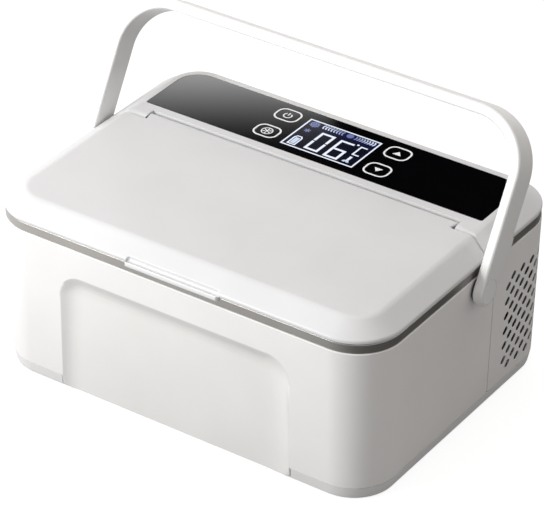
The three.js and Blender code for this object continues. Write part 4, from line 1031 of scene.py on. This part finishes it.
# %% Rear housing
PILLAR_REAR, PILLAR_SLANT, BAND_BOTTOM, BAND_TOP = 42.8, 2.0, 90.3, 95.4
GRILLE, GRILLE_ZONE = 0.5, (*ACROSS, 36, 76, 8, 80)
PORT, PORT_HOLE = (94.0, 13.4), 4.5

housing = case_stack([(TUB_BOTTOM, inset_at(TUB_BOTTOM)), (TUB_TOP, 0), (BAND_TOP, 0)])
housing = sliced(housing, (0, SEAM_Y + GAP + 0.15, 0), (0, -1, 0))
notch = outline((PILLAR_REAR - PILLAR_SLANT, TUB_TOP, 0), (120, TUB_TOP, 0), (120, 100, 0),
                (PILLAR_REAR, 100, 0), (PILLAR_REAR, BAND_TOP, 0))
hollow = case_stack([(TUB_BOTTOM - PAST, inset_at(TUB_BOTTOM) + WALL), (TUB_TOP, WALL), (97, WALL)])
housing = carve_all(housing, prism(notch, *ACROSS, "X"), hollow)
soften(housing, 0.35, lambda p: abs(p.x) > SIDE_X and (p.y < 26 or p.z > 89), steps=2)
thin = combine(case_stack([(z, inset_at(z) + GRILLE) for z in (11, 76)]), block(*GRILLE_ZONE), "INTERSECT")
housing = carve_all(housing, thin, slot_cutter(-1), slot_cutter(1), rod(PORT_HOLE, 70, 100, PORT, "Y"))
finished("rear_wall", housing, "case", "case_white", ["rear_housing"])

# %% [markdown]
# A metallic grey band runs round the case under the lid, and behind the slanted pillar a second one
# goes on. Both are cut from one ring over the case's outline, which stands a little behind the wall.

# %% Grey bands
def ring(profile):
    """A ring over the case's outline, hollow inside, from a profile of (height, inset)."""
    low, high = profile[0][0], profile[-1][0]
    return combine(case_stack(profile), case_stack([(low - PAST, 6.0), (high + PAST, 6.0)]))


BAND = eased((BAND_BOTTOM, 1.0, 0), (BAND_BOTTOM, 0.3, 0.5), (BAND_TOP, 0.3, 0.5), (BAND_TOP, 1.0, 0))
front_band = sliced(ring(BAND), (0, SEAM_Y, 0), (0, 1, 0))
finished("front_band", front_band, "case", "band_grey", ["rim_band"])
slant = (0, TUB_TOP - BAND_TOP, PILLAR_SLANT)
rear_band = sliced(ring(BAND), (0, PILLAR_REAR - PILLAR_SLANT + GAP, BAND_BOTTOM), slant)
finished("back_band", rear_band, "case", "band_grey", ["rear_band"])

# %% [markdown]
# The handle is a flat strap bent twice into a bail. It is drawn upright round its pivot, carved to its
# round ends, rolled along every edge, and only then leant back to where the photograph shows it. A fine
# ring groove on each arm marks the cap of the pivot.

# %% Handle
PIVOT, LEAN = Vector((0, 8.0, 83.0)), math.radians(-29.3)
STRAP_WIDTH, STRAP, BAR, REACH, BEND, ARM_INNER = 16.25, 5.8, 6.2, 90.4, 31.5, 121.3
ARM_OUTER, END_RADIUS = ARM_INNER + STRAP, STRAP_WIDTH / 2
PIN_RADIUS, PIN_DEPTH, GROOVE_OUTER, GROOVE_INNER, GROOVE_DEPTH = 3.3, 3.8, 6.9, 6.35, 0.4
BEYOND = (-140, 140)

outer = plate(-ARM_OUTER, ARM_OUTER, -30, REACH, [0, 0, BEND, BEND], 20)
opening = plate(-ARM_INNER, ARM_INNER, -40, REACH - BAR, [0, 0, BEND - STRAP, BEND - STRAP], 20)
strap_side = combine(block(*BEYOND, -END_RADIUS, END_RADIUS, 0, 120),
                     rod(END_RADIUS, *BEYOND, (0, 0), "X", 48), "UNION")
bail = carve_all(prism(outer, -END_RADIUS, END_RADIUS, "Y"), prism(opening, -20, 20, "Y"),
                 (strap_side, "INTERSECT"))
soften(bail, 1.3, bluntest=50, steps=4)
bail = combine(bail, rod(PIN_RADIUS, -ARM_INNER - PIN_DEPTH, ARM_INNER + PIN_DEPTH, (0, 0), "X"))
for side in (-1, 1):
    low, high = sorted((side * (ARM_OUTER - GROOVE_DEPTH), side * (ARM_OUTER + PAST)))
    groove = combine(rod(GROOVE_OUTER, low, high, (0, 0), "X", 48),
                     rod(GROOVE_INNER, *BEYOND, (0, 0), "X", 48))
    bail = combine(bail, groove)
bail.transform(Matrix.Translation(PIVOT) @ Matrix.Rotation(LEAN, 4, "X"))
finished("carry_handle", bail, "bail", "handle_white", ["handle"])

# %% [markdown]
# Under the lid is the cold chamber: a drawn aluminium cup with rolled corners and a flat flange, held
# by a white collar. The tip of a temperature probe looks through its rear wall. Cup and collar follow
# the outline of the chamber's mouth, grown or shrunk.

# %% Chamber
MOUTH_HALF, MOUTH_FRONT, MOUTH_REAR, MOUTH_RADIUS = 100.5, -71.1, 9.0, 6.7
CUP_FLOOR, CUP_TOP, SHEET, FLANGE, FLOOR_INSET = 20.1, 90.0, 1, 9, -5.5
COLLAR_LOW, COLLAR_TOP, COLLAR_HALF, COLLAR_FRONT, COLLAR_REAR = 90.3, 92.3, 113.7, -84.3, 27.4
COLLAR_RADII = [19.9, 19.9, 2.5, 2.5]
PROBE, PROBE_HOLE, PROBE_TIP, PROBE_FRONT, PROBE_END = (40, 72), 2.8, 2.5, 7.5, 12.5


def mouth(grown):
    return plate(-MOUTH_HALF - grown, MOUTH_HALF + grown, MOUTH_FRONT - grown, MOUTH_REAR + grown,
                 [MOUTH_RADIUS + grown] * 4, 10)


def mouth_stack(profile):
    """A solid over the mouth's outline, from a profile of (height, growth)."""
    return stack(*[(height, mouth(grown)) for height, grown in profile])


cup = mouth_stack(eased((CUP_FLOOR - SHEET, FLOOR_INSET, 0), (CUP_FLOOR - SHEET, SHEET, 5),
                        (CUP_TOP - 0.5, SHEET, 0)))
cup = carve_all(cup, (prism(mouth(FLANGE), CUP_TOP - SHEET, CUP_TOP), "UNION"),
                mouth_stack(eased((CUP_FLOOR, FLOOR_INSET, 0), (CUP_FLOOR, 0, 4.4), (CUP_TOP + PAST, 0, 0))),
                rod(PROBE_HOLE, MOUTH_REAR - PAST, MOUTH_REAR + 3, PROBE, "Y"))
soften(cup, 0.5, lambda p: p.z > CUP_TOP - 0.1)
finished("chamber_cup", cup, "case", "liner", ["chamber_liner"])

collar = plate(-COLLAR_HALF, COLLAR_HALF, COLLAR_FRONT, COLLAR_REAR, COLLAR_RADII)
collar = combine(prism(collar, COLLAR_LOW, COLLAR_TOP), prism(mouth(0), 80, 100))
soften(collar, 0.6, lambda p: p.z > COLLAR_TOP - 0.1)
finished("mouth_collar", collar, "case", "inner_white", ["rim_collar"])

probe = rod(PROBE_TIP, PROBE_FRONT, PROBE_END, PROBE, "Y")
soften(probe, 1.6, lambda p: p.y < PROBE_FRONT + 0.1, steps=4)
finished("probe_tip", probe, "case", "steel", ["temperature_probe"])

# %% [markdown]
# The lid closes the chamber with a white plug whose edges are rolled like the cup's. The plug hangs
# from a flat panel that lines the lid, and a soft ring round it seals against the collar.

# %% Lid lining and seal
PLUG_LOW, PLUG_CLEARANCE, PLUG_ROLL, LINING_REAR = 86.5, 2.0, 3, 12.2
SEAL_LOW, SEAL_TOP, SEAL_GROWTH, SEAL_ROLL = 92.6, 95.4, 4.2, 0.8

plug = mouth_stack(eased((PLUG_LOW, -7, 0), (PLUG_LOW, -PLUG_CLEARANCE - 1, PLUG_ROLL),
                         (COVER_BOTTOM + 1, -PLUG_CLEARANCE, 0)))
panel = case_stack([(COVER_BOTTOM, 2.7), (COVER_BOTTOM + 0.2, 2.5), (97.6, 2.5)])
panel = carve_all(sliced(panel, (0, LINING_REAR, 0), (0, 1, 0)), (plug, "UNION"),
                  mouth_stack([(PLUG_LOW + 1.5, -PLUG_CLEARANCE - 2.5), (99, -PLUG_CLEARANCE - 1.5)]))
soften(panel, 0.8, lambda p: abs(p.z - COVER_BOTTOM) < 0.05 and p.y > -72 and abs(p.x) < 99)
finished("lid_lining", panel, "lid", "inner_white", ["lid_liner"])

seal = mouth_stack(eased((SEAL_LOW, 3.4, 0), (SEAL_LOW, SEAL_GROWTH, SEAL_ROLL),
                         (SEAL_TOP, SEAL_GROWTH, SEAL_ROLL), (SEAL_TOP, 3.4, 0)))
finished("lid_gasket", combine(seal, prism(mouth(1.2), 90, 99)), "lid", "rubber", ["lid_seal"])

# %% [markdown]
# Four soft feet and four screws finish the underside. Each is a few rods and blocks, softened by a
# bevel: a foot has a ring groove in its sole, and a screw has a cross in its head.

# %% Feet and screws
CORNERS = ("front_left", "rear_left", "front_right", "rear_right")
FOOT, FOOT_HEIGHT, FOOT_ROLL, FOOT_RING_OUTER, FOOT_RING_INNER, FOOT_RING_DEPTH = 7, 1.9, 0.7, 4.6, 3.8, 0.25
HEAD, HEAD_HEIGHT, HEAD_ROLL, SHANK, CROSS_ARM, CROSS_WIDTH, CROSS_DEPTH = 2.7, 1.6, 0.7, 1.3, 1.5, 0.3, 0.9

for name, place in zip(CORNERS, FEET):
    foot = soften(rod(FOOT, 0, FOOT_HEIGHT, place, steps=40), FOOT_ROLL, lambda p: p.z < 0.1)
    groove = combine(rod(FOOT_RING_OUTER, -PAST, FOOT_RING_DEPTH, place, steps=40),
                     rod(FOOT_RING_INNER, -2, 3, place, steps=40))
    finished(f"foot_pad_{name}", combine(foot, groove), "case", "rubber", [f"foot_{name}"])

for name, (x, y) in zip(CORNERS, SCREWS):
    low, high = (corner[2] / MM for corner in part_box(f"base_screw_{name}"))
    head = soften(rod(HEAD, low, low + HEAD_HEIGHT, (x, y)), HEAD_ROLL, lambda p: p.z < low + 0.1)
    head = combine(head, rod(SHANK, low + HEAD_HEIGHT - 0.1, high, (x, y)), "UNION")
    for across, along in ((CROSS_ARM, CROSS_WIDTH), (CROSS_WIDTH, CROSS_ARM)):
        cross = block(x - across, x + across, y - along, y + along, low - PAST, low + CROSS_DEPTH)
        head = combine(head, cross)
    finished(f"screw_{name}", head, "case", "steel", [f"base_screw_{name}"])

# %% [markdown]
# The cover of the power socket is a rubber flap with a round plug behind it, and a groove for a finger
# nail. It takes its size from the CAD node that it stands for.

# %% Port cover
FLAP, FLAP_RADIUS, FLAP_ROLL, PLUG_RADIUS = 2, 3, 0.8, 3.6
NAIL_HALF, NAIL_LOW, NAIL_HIGH, NAIL_DEPTH = 4, 2.2, 3.2, 0.5

(x0, y0, z0), (x1, y1, z1) = ([c / MM for c in corner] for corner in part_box("port_cover"))
flap = prism(plate(x0, x1, z0, z1, [FLAP_RADIUS] * 4, 8), y1 - FLAP, y1, "Y")
soften(flap, FLAP_ROLL, lambda p: p.y > y1 - 0.1)
nail = plate(PORT[0] - NAIL_HALF, PORT[0] + NAIL_HALF, z0 + NAIL_LOW, z0 + NAIL_HIGH, [0.4] * 4, 4)
flap = carve_all(flap, prism(nail, y1 - NAIL_DEPTH, y1 + PAST, "Y"),
                 (rod(PLUG_RADIUS, y0, y1 - NAIL_DEPTH - PAST, PORT, "Y"), "UNION"))
finished("port_flap", flap, "case", "rubber", ["port_cover"])

# %% [markdown]
# The studio is small. One soft lamp stands close, front left and above, so its light falls off along
# the case as it does in the photograph. A slightly warm room lights the rest, less from the front
# right and from below than from elsewhere. The room and the floor look white to the camera, but light
# the case gently, so its whites keep their shape.

# %% Lamp and room
LAMP_PLACE, LAMP_AIM = Vector((-0.42, -0.64, 0.42)), Vector((0, 0, 0.05))
LAMP_SIZE, LAMP_POWER = 0.42, 5.6
ROOM_LIGHT, ROOM_SIDE, FLOOR_GLOW = 0.60, 0.34, 0.82
DARK_SIDE = (0.66, -0.52, -0.62)
LAMP_TONE, ROOM_TONE, WHITE = (0.98, 0.995, 1), (1, 0.965, 0.94, 1), (1, 1, 1, 1)

key_data = bpy.data.lights.new("key", "AREA")
key_data.shape, key_data.size, key_data.energy, key_data.color = "DISK", LAMP_SIZE, LAMP_POWER, LAMP_TONE
key_lamp = bpy.data.objects.new("key", key_data)
key_lamp.location = LAMP_PLACE
key_lamp.rotation_euler = (LAMP_PLACE - LAMP_AIM).to_track_quat("Z", "Y").to_euler()
bpy.context.scene.collection.objects.link(key_lamp)

world = bpy.data.worlds.new("studio")
world.use_nodes = True
bpy.context.scene.world = world
room = world.node_tree
room.nodes.clear()
path = add(room, "ShaderNodeLightPath").outputs
shown = sums(room, "MAXIMUM", path["Is Camera Ray"], path["Is Glossy Ray"])
shown = sums(room, "MAXIMUM", shown, path["Is Transmission Ray"])
ways = {0: add(room, "ShaderNodeTexCoord").outputs["Generated"], 1: DARK_SIDE}
away = add(room, "ShaderNodeVectorMath", ways, operation="DOT_PRODUCT").outputs["Value"]
lean = mapped(room, away, -1, 1, ROOM_LIGHT + ROOM_SIDE, ROOM_LIGHT - ROOM_SIDE)
backdrop = {"Color": blend(room, shown, ROOM_TONE, WHITE), "Strength": mapped(room, shown, 0, 1, lean, 1)}
backdrop = add(room, "ShaderNodeBackground", backdrop)
add(room, "ShaderNodeOutputWorld", {"Surface": backdrop.outputs[0]})
print("room light", ROOM_LIGHT, "lamp", LAMP_POWER, "W")

# %% [markdown]
# The floor is a plain sheet of paper. It takes the case's shadow as any paper does, and adds a little
# glow for the rays that show it, which carries its tone up to the white of the room. Two things keep it
# from washing out the case. A patch from just in front of the case to its left and back throws back
# less light, and what glossy walls mirror is a dark paper, whose glow fades from left to right.

# %% Floor
FLOOR_REACH = 4
PAPER_GREY, PATCH_GREY = (0.32, 0.32, 0.32, 1), (0.06, 0.06, 0.06, 1)
PATCH_FRONT, PATCH_RIGHT = (-0.3, -0.16), (0.16, 0.05)
MIRROR_SPAN, MIRROR_GLOW = (-0.22, 0.18), (1.05, 0.0)


def staged_sheet(name, corners, marks, material):
    """A four cornered sheet of the studio, with a pair of numbers kept at each corner."""
    sheet = bpy.data.meshes.new(name)
    sheet.from_pydata(corners, [], [(0, 1, 2, 3)])
    layer = sheet.uv_layers.new(name="place")
    for loop, mark in zip(layer.data, marks):
        loop.uv = mark
    sheet.materials.append(material)
    piece = bpy.data.objects.new(name, sheet)
    bpy.context.scene.collection.objects.link(piece)
    return piece


def shine(tree, strength):
    """A plain glow, as a shader."""
    return add(tree, "ShaderNodeEmission", {"Strength": strength}).outputs[0]


def surfaced(tree, shader):
    fill(tree, tree.nodes["Material Output"], {"Surface": shader})


paper, tree, shader = new_material("floor_paper")
path = add(tree, "ShaderNodeLightPath").outputs
x, y = (place_along(tree, axis) for axis in "XY")
patch = sums(tree, "MULTIPLY", mapped(tree, y, *PATCH_FRONT), mapped(tree, x, *PATCH_RIGHT))
curbed = sums(tree, "MAXIMUM", sums(tree, "MULTIPLY", patch, path["Is Diffuse Ray"]), path["Is Glossy Ray"])
fill(tree, shader, {"Roughness": 0.9, "Base Color": blend(tree, curbed, PAPER_GREY, PATCH_GREY)})
seen = sums(tree, "MAXIMUM", path["Is Camera Ray"], path["Is Transmission Ray"])
mirrored = sums(tree, "MULTIPLY", mapped(tree, x, *MIRROR_SPAN, *MIRROR_GLOW), path["Is Glossy Ray"])
glow = shine(tree, sums(tree, "MULTIPLY_ADD", seen, FLOOR_GLOW, mirrored))
surfaced(tree, add(tree, "ShaderNodeAddShader", {0: shader.outputs[0], 1: glow}).outputs[0])
corners = [(x * FLOOR_REACH, y * FLOOR_REACH, 0) for x, y in ((-1, -1), (1, -1), (1, 1), (-1, 1))]
staged_sheet("floor", corners, [corner[:2] for corner in corners], paper)

# %% [markdown]
# Black glass is only as dark as what it mirrors. Photographers hang a black flag where the glass
# would mirror a white wall. This flag hangs behind the case, in the mirrored line of sight. Its lower
# left part is pale, and gives the panel the soft grey sheen at its left rear corner.

# %% Flag behind the glass
FLAG_BEHIND, FLAG_LEFT, FLAG_RIGHT, FLAG_LOW, FLAG_HIGH = 0.9, -0.4, 0.4, -0.066, 0.36
SHEEN, SHEEN_BEND, SHEEN_DOWN, SHEEN_LEFT = 3.35, 1.9, (0.004, -0.052), (0.006, -0.004)

glass_middle = Vector((0, LCD_MIDDLE, COVER_TOP)) * MM
mirrored_eye = Vector((eye.x, eye.y, 2 * glass_middle.z - eye.z))
sight = (glass_middle - mirrored_eye).normalized()
flag_middle = glass_middle + sight * FLAG_BEHIND
flag_up = level_right.cross(sight)

black, tree, shader = new_material("flag")
tree.nodes.remove(shader)
spot = add(tree, "ShaderNodeUVMap", uv_map="place").outputs[0]
spot = add(tree, "ShaderNodeSeparateXYZ", {0: spot}).outputs
sheen = sums(tree, "POWER", mapped(tree, spot["Y"], *SHEEN_DOWN), SHEEN_BEND)
sheen = sums(tree, "MULTIPLY", sheen, mapped(tree, spot["X"], *SHEEN_LEFT))
surfaced(tree, shine(tree, sums(tree, "MULTIPLY", sheen, SHEEN)))

marks = [(FLAG_LEFT, FLAG_LOW), (FLAG_RIGHT, FLAG_LOW), (FLAG_RIGHT, FLAG_HIGH), (FLAG_LEFT, FLAG_HIGH)]
flag = staged_sheet("flag", [flag_middle + a * level_right + b * flag_up for a, b in marks], marks, black)
flag.visible_camera = flag.visible_diffuse = flag.visible_shadow = flag.visible_transmission = False
print("flag at", [round(c, 3) for c in flag_middle])
